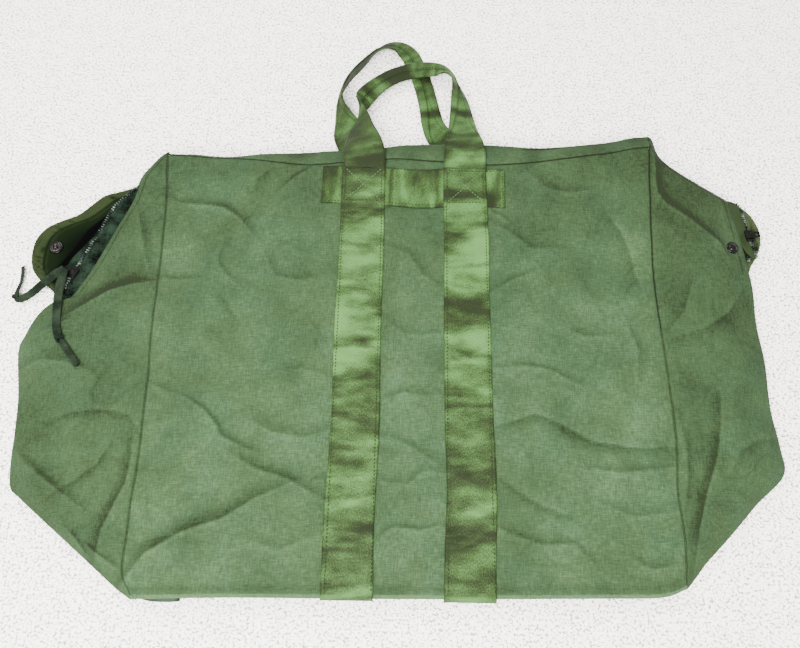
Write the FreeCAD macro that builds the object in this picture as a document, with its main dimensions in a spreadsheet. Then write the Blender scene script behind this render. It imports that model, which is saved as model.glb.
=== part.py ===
import FreeCAD, Part
import math
import os

from FreeCAD import Placement, Rotation, Vector

# A folded canvas kit bag lying flat on its back, in millimetres.
# X runs across the bag, +Y runs from the bottom seam to the handles, +Z is up from the floor.
# The origin is on the floor, at the middle of the bag's footprint.

doc = FreeCAD.newDocument("kit_bag")

DIMENSIONS = {
    "PanelLeft": -272.0,        # left seam of the front and back panels
    "PanelWidth": 562.0,
    "PanelHeight": 492.0,
    "BottomEdge": -346.0,       # Y of the bottom fold
    "TopEdge": 168.0,           # Y of the mouth edge above the panels
    "Cloth": 2.0,               # thickness that stands for a hemmed cloth layer
    "BackHeight": 3.2,          # underside of the back panel
    "FrontLow": 16.0,           # underside of the front panel at the bottom fold
    "FrontHigh": 42.0,          # underside of the front panel at its top seam
    "FoldDepth": 130.0,         # how far the bottom panel folds up inside
    "Webbing": 1.6,
    "WebbingWidth": 49.0,
    "StrapLeft": -65.5,         # left edge of the left strap
    "StrapRight": 53.5,         # left edge of the right strap
    "PatchLeft": -89.0,
    "PatchWidth": 213.0,
    "PatchLow": 82.0,           # Y of the patch's lower edge
    "PatchTop": 131.0,          # Y of the patch's upper edge, where the front handle lets go
    "GripWidth": 24.0,
    "GripThickness": 4.0,
    "ChainWidth": 3.2,
    "ChainThickness": 2.4,
    "TapeWidth": 9.0,
    "TapeThickness": 1.0,
    "SliderLength": 13.0,
    "SliderWidth": 9.0,
    "SliderHeight": 6.0,
    "SliderWall": 1.2,
    "PullLength": 17.0,
    "PullWidth": 7.0,
    "PullThickness": 1.4,
    "PullHole": 3.6,
    "CapRadius": 7.4,
    "CapThickness": 1.6,
    "SocketRadius": 6.0,
    "SocketHole": 2.6,
    "SocketThickness": 1.5,
    "StudRadius": 2.2,
    "StudHeight": 1.4,
    "ThongDiameter": 3.0,
}

sheet = doc.addObject("Spreadsheet::Sheet", "Dimensions")
for row, (alias, value) in enumerate(DIMENSIONS.items(), start=1):
    sheet.set(f"A{row}", alias)
    sheet.set(f"B{row}", str(value))
    sheet.setAlias(f"B{row}", alias)
doc.recompute()


def dim(alias):
    return float(sheet.get(alias))


pieces = []


def keep(piece, label):
    piece.Label = label
    pieces.append(piece)
    return piece


def bind(piece, **formulas):
    for name, formula in formulas.items():
        piece.setExpression(name, formula)


def primitive(kind, name, placement, **formulas):
    piece = doc.addObject(kind, name)
    bind(piece, **formulas)
    piece.Placement = placement
    return piece


def moved(x, y, z):
    return Placement(Vector(x, y, z), Rotation())


def shaped(label, shape):
    """A piece whose shape neither a sketch nor a primitive gives."""
    piece = doc.addObject("Part::Feature", label)
    piece.Shape = shape
    return keep(piece, label)


# ---- shapes of cloth, webbing and cord -------------------------------------------------------

def solid_between(rows, thickness):
    """A sheet through rows of points, all of one length, with its thickness straight down."""
    down = Vector(0, 0, -thickness)
    faces = []

    def patch(*corners):
        faces.append(Part.Face(Part.makePolygon(list(corners) + [corners[0]])))

    for low, high in zip(rows, rows[1:]):
        for near in range(len(low) - 1):
            a, b, c, d = low[near], low[near + 1], high[near + 1], high[near]
            for corners in ((a, b, c), (a, c, d)):
                patch(*corners)
                patch(*[corner + down for corner in reversed(corners)])
    first, last = rows[0], rows[-1]
    rim = first + [row[-1] for row in rows[1:-1]] + last[::-1] + [row[0] for row in rows[-2:0:-1]]
    for start, stop in zip(rim, rim[1:] + rim[:1]):
        patch(start, stop, stop + down, start + down)
    solid = Part.Solid(Part.Shell(faces))
    if solid.Volume < 0:
        solid.reverse()
    return solid


def offset_line(points, distance):
    """The line moved sideways in plan, to its left as it runs, with mitred corners."""
    moved = []
    for index, point in enumerate(points):
        before = points[max(index - 1, 0)]
        after = points[min(index + 1, len(points) - 1)]
        into = (point - before) if index else (after - point)
        out = (after - point) if index < len(points) - 1 else into
        into = Vector(into.x, into.y, 0).normalize()
        out = Vector(out.x, out.y, 0).normalize()
        half = (into + out).normalize()
        side = Vector(-half.y, half.x, 0)
        stretch = 1.0 / max(half.dot(into), 0.6)
        moved.append(point + side * distance * stretch)
    return moved


def edge_strip(points, near, far, thickness):
    """A strip that follows a line between two sideways distances."""
    return solid_between([offset_line(points, near), offset_line(points, far)], thickness)


def webbing_strip(stations):
    """Flat webbing through stations of point, width and thickness, square across at both roots."""
    sections = []
    last = len(stations) - 1
    for index, (point, width, thick) in enumerate(stations):
        before = stations[max(index - 1, 0)][0]
        after = stations[min(index + 1, last)][0]
        along = (after - before).normalize()
        across = along.cross(Vector(0, 0, 1)).normalize()
        if index < 2 or index > last - 2:
            across = Vector(math.copysign(1, across.x), 0, 0)
        across = across * (width / 2)
        up = across.cross(along).normalize() * (thick / 2)
        corners = [point - across - up, point + across - up, point + across + up, point - across + up]
        sections.append(Part.makePolygon(corners + corners[:1]))
    return Part.makeLoft(sections, True, True)


def cord_tube(name, route, diameter):
    """A round cord: straight runs joined by arcs as large as the runs allow."""
    edges = []
    start = route[0]
    for before, corner, after in zip(route, route[1:], route[2:]):
        into = (corner - before).normalize()
        out = (after - corner).normalize()
        turn = into.getAngle(out)
        reach = 0.45 * min((corner - before).Length, (after - corner).Length)
        radius = reach / math.tan(turn / 2)
        print(f"{name}: radius {radius:.1f} mm at a turn of {math.degrees(turn):.0f} degrees")
        first = corner - into * reach
        last = corner + out * reach
        bisector = (out - into).normalize()
        centre = corner + bisector * math.hypot(radius, reach)
        middle = centre - bisector * radius
        edges.append(Part.LineSegment(start, first).toShape())
        edges.append(Part.Arc(first, middle, last).toShape())
        start = last
    edges.append(Part.LineSegment(start, route[-1]).toShape())
    path = Part.Wire(edges)
    section = Part.Wire([Part.makeCircle(diameter / 2, route[0], (route[1] - route[0]).normalize())])
    tube = path.makePipeShell([section], True, False)
    expected = math.pi * diameter ** 2 / 4 * path.Length
    print(f"{name}: length {path.Length:.1f} mm, volume {tube.Volume:.0f} of {expected:.0f} cubic mm")
    return tube


# ---- where the cloth lies --------------------------------------------------------------------

cloth = dim("Cloth")
panel_left = dim("PanelLeft")
panel_right = panel_left + dim("PanelWidth")
bottom = dim("BottomEdge")
seam = bottom + dim("PanelHeight")
top = dim("TopEdge")
back_top = dim("BackHeight") + cloth
webbing = dim("Webbing")
slope = math.atan2(dim("FrontHigh") - dim("FrontLow"), dim("PanelHeight"))
SEAM_GAP = 0.3


def front_under(y):
    """Height of the front panel's underside."""
    return dim("FrontLow") + (y - bottom) * math.tan(slope)


def front_top(y):
    return front_under(y) + cloth / math.cos(slope)


LEAN = Rotation(Vector(1, 0, 0), math.degrees(slope))


def on_front(x, y, lift=0.0):
    """A placement on the front panel's outer face, leaning with it."""
    return Placement(Vector(x, y, front_top(y)) + LEAN.multVec(Vector(0, 0, lift)), LEAN)


# ---- panels ----------------------------------------------------------------------------------

back = primitive("Part::Box", "back_panel_sheet", moved(panel_left, bottom, dim("BackHeight")),
                 Length="Dimensions.PanelWidth", Width="Dimensions.PanelHeight",
                 Height="Dimensions.Cloth")
keep(back, "back_panel")

front = primitive("Part::Box", "front_panel_sheet",
                  Placement(Vector(panel_left, bottom, front_under(bottom)), LEAN),
                  Length="Dimensions.PanelWidth",
                  Width=f"Dimensions.PanelHeight / cos({math.degrees(slope):.4f} deg)",
                  Height="Dimensions.Cloth")
keep(front, "front_panel")


def padded_profile(label, corners, left, width_formula):
    """A strip of one profile in Y and Z, padded across the bag."""
    body = doc.addObject("PartDesign::Body", label + "_body")
    sketch = body.newObject("Sketcher::SketchObject", label + "_profile")
    plane = next(feature for feature in body.Origin.OriginFeatures if feature.Role == "YZ_Plane")
    sketch.AttachmentSupport = [(plane, "")]
    sketch.MapMode = "FlatFace"
    for start, stop in zip(corners, corners[1:] + corners[:1]):
        sketch.addGeometry(Part.LineSegment(Vector(*start, 0), Vector(*stop, 0)), False)
    pad = body.newObject("PartDesign::Pad", label + "_pad")
    pad.Profile = sketch
    pad.setExpression("Length", width_formula)
    body.Placement = Placement(Vector(left, 0, 0), Rotation())
    return keep(body, label)


def band_profile(line, thickness):
    """The outline of a strip in Y and Z that lies to the right of its line."""
    plan = [Vector(y, z, 0) for y, z in line]
    far = offset_line(plan, -thickness)
    return [(point.x, point.y) for point in plan + far[::-1]]


fold = bottom + dim("FoldDepth")
# The bottom panel runs from the front panel's edge up inside the bag and back to the back panel's edge.
bottom_line = [
    (bottom, dim("FrontLow") - SEAM_GAP),
    (fold, dim("FrontLow") - SEAM_GAP),
    (fold, back_top + SEAM_GAP),
    (bottom, back_top + SEAM_GAP),
]
padded_profile("bottom_panel", band_profile(bottom_line, cloth), panel_left, "Dimensions.PanelWidth")

# Each strap is one length of webbing: down the front, through the bottom fold and up the back.
INSIDE = cloth + SEAM_GAP + 0.1     # from a panel to the strap that lies inside the bottom's cloth
LAP = 1.0                           # of the strap past the bottom fold
BACK_TAIL = 14.5                    # of the strap past the mouth, up to where the back handle lets go
strap_clear = webbing + 0.2
strap_line = [
    (dim("PatchTop"), front_top(dim("PatchTop")) + strap_clear),
    (bottom - LAP, front_top(bottom) + strap_clear),
    (bottom - LAP, dim("FrontLow") - INSIDE),
    (fold - cloth - LAP, dim("FrontLow") - INSIDE),
    (fold - cloth - LAP, back_top + INSIDE),
    (bottom - LAP, back_top + INSIDE),
    (bottom - LAP, webbing),
    (top + BACK_TAIL, webbing),
]
strap_profile = band_profile(strap_line, webbing)
padded_profile("strap_left", strap_profile, dim("StrapLeft"), "Dimensions.WebbingWidth")
padded_profile("strap_right", strap_profile, dim("StrapRight"), "Dimensions.WebbingWidth")

PATCH_PLACES = {
    "handle_patch_front": on_front(dim("PatchLeft"), dim("PatchLow")),
    "handle_patch_back": moved(dim("PatchLeft"), dim("PatchLow"), webbing),
}
for label, place in PATCH_PLACES.items():
    patch = primitive("Part::Box", label + "_webbing", place,
                      Length="Dimensions.PatchWidth",
                      Width="Dimensions.PatchTop - Dimensions.PatchLow",
                      Height="Dimensions.Webbing")
    keep(patch, label)

# ---- top bands and gussets -------------------------------------------------------------------

MOUTH_HIGH = 15.0       # of the front half's mouth edge above the panels
BAND_ROLL = 12.0        # how far the top band stays near the seam's height
left_x = panel_left
right_x = panel_right
seam_top = front_top(seam)

shaped("top_band_front", solid_between([
    [Vector(left_x, seam + SEAM_GAP, seam_top), Vector(right_x, seam + SEAM_GAP, seam_top)],
    [Vector(left_x, seam + BAND_ROLL, seam_top - 8), Vector(right_x, seam + BAND_ROLL, seam_top - 8)],
    [Vector(left_x, top, MOUTH_HIGH), Vector(right_x, top, MOUTH_HIGH)],
], cloth))
shaped("top_band_back", solid_between([
    [Vector(left_x, seam + SEAM_GAP, back_top), Vector(right_x, seam + SEAM_GAP, back_top)],
    [Vector(left_x, top, back_top), Vector(right_x, top, back_top)],
], cloth))


def seam_points(side, heights):
    """Points down a panel's side seam, from the top to the bottom fold."""
    count = len(heights)
    drop = (seam - bottom) / (count - 1)
    return [Vector(side, seam - drop * step, z) for step, z in enumerate(heights)]


def front_heights(count):
    drop = (seam - bottom) / (count - 1)
    return [front_top(seam - drop * step) for step in range(count)]


# Outer edges of the gusset halves, from the mouth to the bottom fold, in plan and height.
LEFT_FRONT_EDGE = [
    Vector(-303, 104, 37), Vector(-366, -34, 17), Vector(-411, -76, 13),
    Vector(-398, -190, 11), Vector(-395, -243, 11), Vector(-275, -344, 18),
]
LEFT_BACK_EDGE = [
    Vector(-300, 117, back_top), Vector(-359, 100, back_top), Vector(-405, 63, back_top),
    Vector(-422, 31, back_top), Vector(-408, -14, back_top), Vector(-411, -76, 8),
    Vector(-395, -243, 8), Vector(-275, -344, back_top),
]
RIGHT_FRONT_EDGE = [
    Vector(310, 154, 36), Vector(393, 106, 21), Vector(405, 18, 14),
    Vector(404, -93, 12), Vector(405, -216, 11), Vector(293, -340, 18),
]
RIGHT_BACK_EDGE = [
    Vector(305, 158, back_top), Vector(360, 127, back_top), Vector(414, 92, back_top),
    Vector(422, 56, back_top), Vector(408, 16, back_top), Vector(404, -93, 8),
    Vector(405, -216, 8), Vector(293, -340, back_top),
]
RIB = 4.0       # width of the cloth that joins the two halves along the fold


def gusset(label, side, front_edge, back_edge):
    """One end piece, folded in half along its outer edge and open towards the mouth."""
    away = math.copysign(SEAM_GAP, side)
    front_seam = seam_points(side + away, front_heights(len(front_edge)))
    back_seam = seam_points(side + away, [back_top] * len(back_edge))
    front_half = solid_between([front_seam, front_edge], cloth)
    back_half = solid_between([back_seam, back_edge], cloth)
    crease = front_edge[2:5]
    inner = [point - Vector(math.copysign(RIB, side), 0, 0) for point in crease]
    rib = solid_between([crease, inner], crease[1].z - (back_edge[-2].z - cloth))
    shaped(label, front_half.fuse([back_half, rib]))


gusset("gusset_left", left_x, LEFT_FRONT_EDGE, LEFT_BACK_EDGE)
gusset("gusset_right", right_x, RIGHT_FRONT_EDGE, RIGHT_BACK_EDGE)

# ---- zip -------------------------------------------------------------------------------------

tape = dim("TapeWidth")
tape_thick = dim("TapeThickness")
chain = dim("ChainWidth")
chain_thick = dim("ChainThickness")
CHAIN_RISE = (chain_thick - tape_thick) / 2
CHAIN_GAP = 0.1         # between the tape and its teeth
FRONT_LIFT = -0.5       # of the front tape's top from the mouth edge
# On the back half the tape is turned in over the cloth, so it lies on top of the hem.
BACK_LIFT = tape_thick + CHAIN_RISE + 0.1
TEETH_LEVEL = FRONT_LIFT - tape_thick / 2


def raised(points, lift):
    return [point + Vector(0, 0, lift) for point in points]


# The front half of the zip follows the front mouth edge, the back half the back mouth edge.
LEFT_FRONT_MOUTH = LEFT_FRONT_EDGE[1::-1]
RIGHT_FRONT_MOUTH = RIGHT_FRONT_EDGE[:3]
TOP_FRONT_MOUTH = [Vector(left_x, top, MOUTH_HIGH), Vector(right_x, top, MOUTH_HIGH)]
LEFT_BACK_MOUTH = LEFT_BACK_EDGE[4::-1]
RIGHT_BACK_MOUTH = RIGHT_BACK_EDGE[:5]
TOP_BACK_MOUTH = [Vector(left_x, top, back_top), Vector(right_x, top, back_top)]


def zip_row(name, runs, lift, outward):
    """The tape and the row of teeth along three separate runs of one mouth edge."""
    tapes = []
    chains = []
    for points in runs:
        line = raised(points, lift)
        tapes.append(edge_strip(line, SEAM_GAP * outward, tape * outward, tape_thick))
        teeth = raised(line, CHAIN_RISE)
        near = (tape + CHAIN_GAP) * outward
        far = (tape + chain) * outward
        chains.append(edge_strip(teeth, near, far, chain_thick))
    shaped(f"zip_tape_{name}", Part.makeCompound(tapes))
    shaped(f"zip_teeth_{name}", Part.makeCompound(chains))


zip_row("front", [LEFT_FRONT_MOUTH, TOP_FRONT_MOUTH, RIGHT_FRONT_MOUTH], FRONT_LIFT, 1)
zip_row("back", [LEFT_BACK_MOUTH, TOP_BACK_MOUTH, RIGHT_BACK_MOUTH], BACK_LIFT, -1)


def edge_frame(line, share, outward):
    """A placement on a mouth edge: X along the edge, Y outward, Z up from the edge."""
    run = (line[-1] - line[0]).normalize()
    side = Vector(0, 0, 1).cross(run).normalize() * outward
    up = run.cross(side) * outward
    if outward < 0:
        run = -run
    origin = line[0] + (line[-1] - line[0]) * share
    return Placement(origin, Rotation(run, side, up, "XYZ"))


BLOCK_LAP = 3.0         # of the slider over the tape
CHANNEL_LAP = 1.0       # of its channel beyond the slider's open side and ends
TOOTH_CLEAR = 0.5


def slider(label, place):
    """A slider body that holds the teeth between two plates joined by an outer wall."""
    start = tape + CHAIN_GAP - BLOCK_LAP
    end = -dim("SliderLength") / 2
    level = TEETH_LEVEL - dim("SliderHeight") / 2
    block = primitive("Part::Box", label + "_block", place.multiply(moved(end, start, level)),
                      Length="Dimensions.SliderLength", Width="Dimensions.SliderWidth",
                      Height="Dimensions.SliderHeight")
    inside = moved(end - CHANNEL_LAP, start - CHANNEL_LAP, level + dim("SliderWall"))
    channel = primitive("Part::Box", label + "_channel", place.multiply(inside),
                        Length=f"Dimensions.SliderLength + {2 * CHANNEL_LAP}",
                        Width=f"Dimensions.ChainWidth + {BLOCK_LAP + CHANNEL_LAP + TOOTH_CLEAR}",
                        Height="Dimensions.SliderHeight - 2 * Dimensions.SliderWall")
    cut = doc.addObject("Part::Cut", label + "_shell")
    cut.Base = block
    cut.Tool = channel
    return keep(cut, label)


PULL_START = tape - 4.0
PULL_LEVEL = TEETH_LEVEL + dim("SliderHeight") / 2 + 0.3
EYE_PLACE = PULL_START + dim("PullLength") - 3.4


def pull(label, place):
    """The flat pull tab on top of a slider, with a round eye for the thong."""
    corner = moved(-dim("PullWidth") / 2, PULL_START, PULL_LEVEL)
    blade = primitive("Part::Box", label + "_blade", place.multiply(corner),
                      Length="Dimensions.PullWidth", Width="Dimensions.PullLength",
                      Height="Dimensions.PullThickness")
    below = moved(0, EYE_PLACE, PULL_LEVEL - 1)
    eye = primitive("Part::Cylinder", label + "_eye", place.multiply(below),
                    Radius="Dimensions.PullHole / 2", Height="Dimensions.PullThickness + 2")
    cut = doc.addObject("Part::Cut", label + "_tab")
    cut.Base = blade
    cut.Tool = eye
    return keep(cut, label)


def end_stop(label, place):
    corner = moved(-2.5, tape + chain + 0.2, TEETH_LEVEL - 1.7)
    stop = primitive("Part::Box", label + "_clip", place.multiply(corner),
                     Length="5", Width="4", Height="3.4")
    return keep(stop, label)


RIGHT_LINE = [RIGHT_FRONT_MOUTH[2], RIGHT_FRONT_MOUTH[1]]
left_place = edge_frame(LEFT_FRONT_MOUTH, 0.17, 1)
right_place = edge_frame(RIGHT_LINE, 0.45, -1)
slider("zip_slider_left", left_place)
slider("zip_slider_right", right_place)
pull("zip_pull_left", left_place)
pull("zip_pull_right", right_place)
end_stop("zip_stop_left", edge_frame(LEFT_FRONT_MOUTH, 0.02, 1))
end_stop("zip_stop_right", edge_frame(RIGHT_LINE, 0.26, -1))

# ---- snap fasteners --------------------------------------------------------------------------

def snap_cap(label, place):
    """A cap with a crowned top, its flat face on the cloth."""
    plate = primitive("Part::Cylinder", label + "_plate", place,
                      Radius="Dimensions.CapRadius", Height="Dimensions.CapThickness / 2")
    crown = primitive("Part::Cone", label + "_crown",
                      place.multiply(moved(0, 0, dim("CapThickness") / 2)),
                      Radius1="Dimensions.CapRadius", Radius2="Dimensions.CapRadius * 0.55",
                      Height="Dimensions.CapThickness / 2")
    whole = doc.addObject("Part::Fuse", label + "_cap")
    whole.Base = plate
    whole.Tool = crown
    return keep(whole, label)


def snap_socket(label, place):
    """The ring that grips the stud."""
    ring = primitive("Part::Cylinder", label + "_ring", place,
                     Radius="Dimensions.SocketRadius", Height="Dimensions.SocketThickness")
    hole = primitive("Part::Cylinder", label + "_hole",
                     place.multiply(moved(0, 0, -1)),
                     Radius="Dimensions.SocketHole", Height="Dimensions.SocketThickness + 2")
    whole = doc.addObject("Part::Cut", label + "_socket")
    whole.Base = ring
    whole.Tool = hole
    return keep(whole, label)


def snap_stud(label, place):
    """The flanged stud that enters the socket."""
    flange = primitive("Part::Cylinder", label + "_flange", place,
                       Radius="Dimensions.SocketRadius", Height="Dimensions.SocketThickness / 2")
    knob = primitive("Part::Cylinder", label + "_knob", place,
                     Radius="Dimensions.StudRadius",
                     Height="Dimensions.SocketThickness / 2 + Dimensions.StudHeight")
    whole = doc.addObject("Part::Fuse", label + "_stud")
    whole.Base = flange
    whole.Tool = knob
    return keep(whole, label)


UPRIGHT = Rotation()
UPSIDE_DOWN = Rotation(Vector(1, 0, 0), 180)
STUD_LEVEL = back_top + 0.05
THROUGH_CLOTH = Vector(0, 0, cloth + 0.1)


def stud_pair(side, x, y):
    """A stud on the inside of the back half, with its cap under the cloth."""
    place = Vector(x, y, STUD_LEVEL)
    snap_stud(f"snap_stud_{side}", Placement(place, UPRIGHT))
    snap_cap(f"snap_stud_cap_{side}", Placement(place - THROUGH_CLOTH, UPSIDE_DOWN))


stud_pair("left", -399, 34)
stud_pair("right", 386, 41)
# The left stud's mate is on the front half's turned-in hem, hidden inside the mouth.
LEFT_SOCKET = Vector(-322, 2, 22.2)
snap_socket("snap_socket_left", Placement(LEFT_SOCKET, UPRIGHT))
snap_cap("snap_cap_left", Placement(LEFT_SOCKET - Vector(0, 0, 0.2), UPSIDE_DOWN))
# The right stud's mate shows its cap on the outside of the front half, and its socket is under it.
RIGHT_CAP = Vector(386, 41, 19.9)
CLOTH_DROP = 16.5       # of the front half, over the run from the panel to its edge
CLOTH_RUN = 107.0
right_tilt = Rotation(Vector(0, 1, 0), math.degrees(math.atan2(CLOTH_DROP, CLOTH_RUN)))
snap_cap("snap_cap_right", Placement(RIGHT_CAP, right_tilt))
snap_socket("snap_socket_right", Placement(RIGHT_CAP - Vector(0.2, 0, cloth + 2.6), UPSIDE_DOWN))

# ---- handles ---------------------------------------------------------------------------------

grip_width = dim("GripWidth")
grip_thick = dim("GripThickness")
width = dim("WebbingWidth")
left_mid = dim("StrapLeft") + width / 2
right_mid = dim("StrapRight") + width / 2
handle_z = front_top(dim("PatchTop")) + strap_clear + webbing / 2

# The front handle rises from the patch, falls over the top band and lies on the back handle.
HANDLE_FRONT = [
    (Vector(left_mid, 132, handle_z), width, webbing),
    (Vector(left_mid, 152, handle_z + 1.5), width, webbing),
    (Vector(left_mid - 1, 172, handle_z - 5), width * 0.94, webbing),
    (Vector(left_mid - 3, 190, handle_z - 17), width * 0.8, webbing),
    (Vector(left_mid - 6, 212, 18), width * 0.62, 2.6),
    (Vector(-46, 238, 10), grip_width, grip_thick),
    (Vector(-34, 268, 8), grip_width, grip_thick),
    (Vector(-14, 291, 8), grip_width, grip_thick),
    (Vector(16, 300, 8), grip_width, grip_thick),
    (Vector(46, 295, 8), grip_width, grip_thick),
    (Vector(68, 274, 8), grip_width, grip_thick),
    (Vector(76, 240, 10), grip_width, grip_thick),
    (Vector(right_mid - 1, 212, 18), width * 0.62, 2.6),
    (Vector(right_mid, 190, handle_z - 17), width * 0.8, webbing),
    (Vector(right_mid, 172, handle_z - 5), width * 0.94, webbing),
    (Vector(right_mid, 152, handle_z + 1.5), width, webbing),
    (Vector(right_mid, 132, handle_z), width, webbing),
]
shaped("handle_front", webbing_strip(HANDLE_FRONT))

# The back handle comes from under the bag and lies on the floor, leaning to the left.
FLOOR_Z = grip_thick / 2 + 0.1
back_root = top + 15.5
HANDLE_BACK = [
    (Vector(left_mid, back_root, 1.0), width, webbing),
    (Vector(left_mid, back_root + 6, 1.0), width, webbing),
    (Vector(-50, 200, 1.4), width * 0.8, webbing),
    (Vector(-62, 217, 1.9), width * 0.6, 3.0),
    (Vector(-69, 242, FLOOR_Z), grip_width, grip_thick),
    (Vector(-64, 278, FLOOR_Z), grip_width, grip_thick),
    (Vector(-47, 312, FLOOR_Z), grip_width, grip_thick),
    (Vector(-25, 337.9, FLOOR_Z), grip_width, grip_thick),
    (Vector(-4, 334, FLOOR_Z), grip_width, grip_thick),
    (Vector(13, 306, FLOOR_Z), grip_width, grip_thick),
    (Vector(25, 268, FLOOR_Z), grip_width, grip_thick),
    (Vector(34, 236, FLOOR_Z), grip_width, grip_thick),
    (Vector(46, 214, 1.9), width * 0.6, 3.0),
    (Vector(64, 200, 1.4), width * 0.8, webbing),
    (Vector(right_mid, back_root + 6, 1.0), width, webbing),
    (Vector(right_mid, back_root, 1.0), width, webbing),
]
shaped("handle_back", webbing_strip(HANDLE_BACK))

# ---- thongs ----------------------------------------------------------------------------------

thong = dim("ThongDiameter")
EYE_SIDE = 1.8          # of each thong's end from the middle of the eye
thong_level = PULL_LEVEL + dim("PullThickness") + thong / 2 + 1.7
outer_start = left_place.multVec(Vector(0, EYE_PLACE + EYE_SIDE, thong_level))
inner_start = left_place.multVec(Vector(0, EYE_PLACE - EYE_SIDE, thong_level))

# One thong falls over the back half to the floor and turns back at its knot.
THONG_OUTER = [
    outer_start, Vector(-383, -9, 24), Vector(-400, -17, 13.5), Vector(-416, -28, 4),
    Vector(-427, -33, 2), Vector(-434, -30, 2), Vector(-433, -20, 2), Vector(-431, -6, 2),
    Vector(-434, 10, 2),
]
# The other lies over the front half of the gusset.
THONG_INNER = [
    inner_start, Vector(-374.5, -14, 27), Vector(-376, -34, 24), Vector(-373, -58, 22.5),
    Vector(-368, -80, 21.5), Vector(-359, -92, 22.5), Vector(-346, -107, 23.5), Vector(-337, -118, 24.5),
]
shaped("thong_outer_left", cord_tube("thong_outer_left", THONG_OUTER, thong))
shaped("thong_inner_left", cord_tube("thong_inner_left", THONG_INNER, thong))

doc.recompute()
failed = [item.Name for item in doc.Objects if "Invalid" in item.State or "Error" in item.State]
if failed:
    raise RuntimeError(f"these objects failed: {failed}")
for piece in pieces:
    if piece.Shape.isNull() or not piece.Shape.isValid():
        raise RuntimeError(f"{piece.Label} has no valid shape")

os.makedirs("parts", exist_ok=True)
for piece in pieces:
    piece.Shape.exportStep(f"parts/{piece.Label}.step")
    box = piece.Shape.BoundBox
    print(f"{piece.Label:22s} solids {len(piece.Shape.Solids)} x {box.XMin:.1f}..{box.XMax:.1f}"
          f" y {box.YMin:.1f}..{box.YMax:.1f} z {box.ZMin:.2f}..{box.ZMax:.2f}")
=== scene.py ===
import math

import bmesh
import bpy
import numpy as np
from mathutils import Matrix, Vector
from mathutils.bvhtree import BVHTree


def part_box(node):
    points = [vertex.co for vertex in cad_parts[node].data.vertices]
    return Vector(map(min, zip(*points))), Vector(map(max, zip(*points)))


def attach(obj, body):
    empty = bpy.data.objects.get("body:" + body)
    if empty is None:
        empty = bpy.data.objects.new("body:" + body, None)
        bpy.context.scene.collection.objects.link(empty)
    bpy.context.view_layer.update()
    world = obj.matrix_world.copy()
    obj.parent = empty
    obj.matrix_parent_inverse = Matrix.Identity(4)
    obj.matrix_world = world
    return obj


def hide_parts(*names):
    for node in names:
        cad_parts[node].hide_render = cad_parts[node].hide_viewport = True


# The looks of a folded cloth kit bag that lies flat on its back.
# Plans below are in millimetres in the part's own frame: X across the bag, Y towards the handles.

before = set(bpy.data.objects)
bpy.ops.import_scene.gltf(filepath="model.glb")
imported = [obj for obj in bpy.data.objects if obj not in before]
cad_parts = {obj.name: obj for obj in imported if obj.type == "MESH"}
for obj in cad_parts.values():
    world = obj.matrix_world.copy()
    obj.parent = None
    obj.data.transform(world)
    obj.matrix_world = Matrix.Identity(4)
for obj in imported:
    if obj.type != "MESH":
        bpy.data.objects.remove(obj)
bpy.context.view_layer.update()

MM = 0.001
UP = np.array([0, 0, 1.0])

# ---- camera, floor and light -----------------------------------------------------------------

CAMERA_PLACE = (0.0046, -0.3602, 0.7541)
CAMERA_TILT = math.radians(22.2)
CAMERA_ROLL = math.radians(1.04)
LENS_MM = 32.4
SENSOR_MM = 36.0
WARM_WHITE = (1.0, 0.985, 0.96)
# Round soft lamps that face the origin: name, place, size, power, colour.
LAMPS = [
    ("key", (-0.35, -1.15, 1.6), 1.3, 165, (1.0, 0.99, 0.97)),
    ("back", (-0.75, 1.25, 1.5), 0.8, 36, WARM_WHITE),
]
ROOM_LIGHT = 2.6
FLOOR_REACH = 30


def new_object(name, data):
    made = bpy.data.objects.new(name, data)
    bpy.context.scene.collection.objects.link(made)
    return made


def make_camera():
    data = bpy.data.cameras.new("camera")
    data.lens = LENS_MM
    data.sensor_width = SENSOR_MM
    data.clip_start = 0.01
    camera = new_object("camera", data)
    turn = Matrix.Rotation(CAMERA_TILT, 4, "X") @ Matrix.Rotation(CAMERA_ROLL, 4, "Z")
    camera.matrix_world = Matrix.Translation(CAMERA_PLACE) @ turn
    bpy.context.scene.camera = camera


def make_lights():
    for name, place, size, power, colour in LAMPS:
        data = bpy.data.lights.new(name, "AREA")
        data.shape = "DISK"
        data.size = size
        data.energy = power
        data.color = colour
        lamp = new_object(name, data)
        lamp.location = place
        lamp.rotation_euler = (-Vector(place)).to_track_quat("-Z", "Y").to_euler()
    world = bpy.data.worlds.new("studio")
    bpy.context.scene.world = world
    world.use_nodes = True
    background = world.node_tree.nodes["Background"]
    background.inputs["Color"].default_value = (*WARM_WHITE, 1)
    background.inputs["Strength"].default_value = ROOM_LIGHT


# ---- shader helpers --------------------------------------------------------------------------

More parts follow.
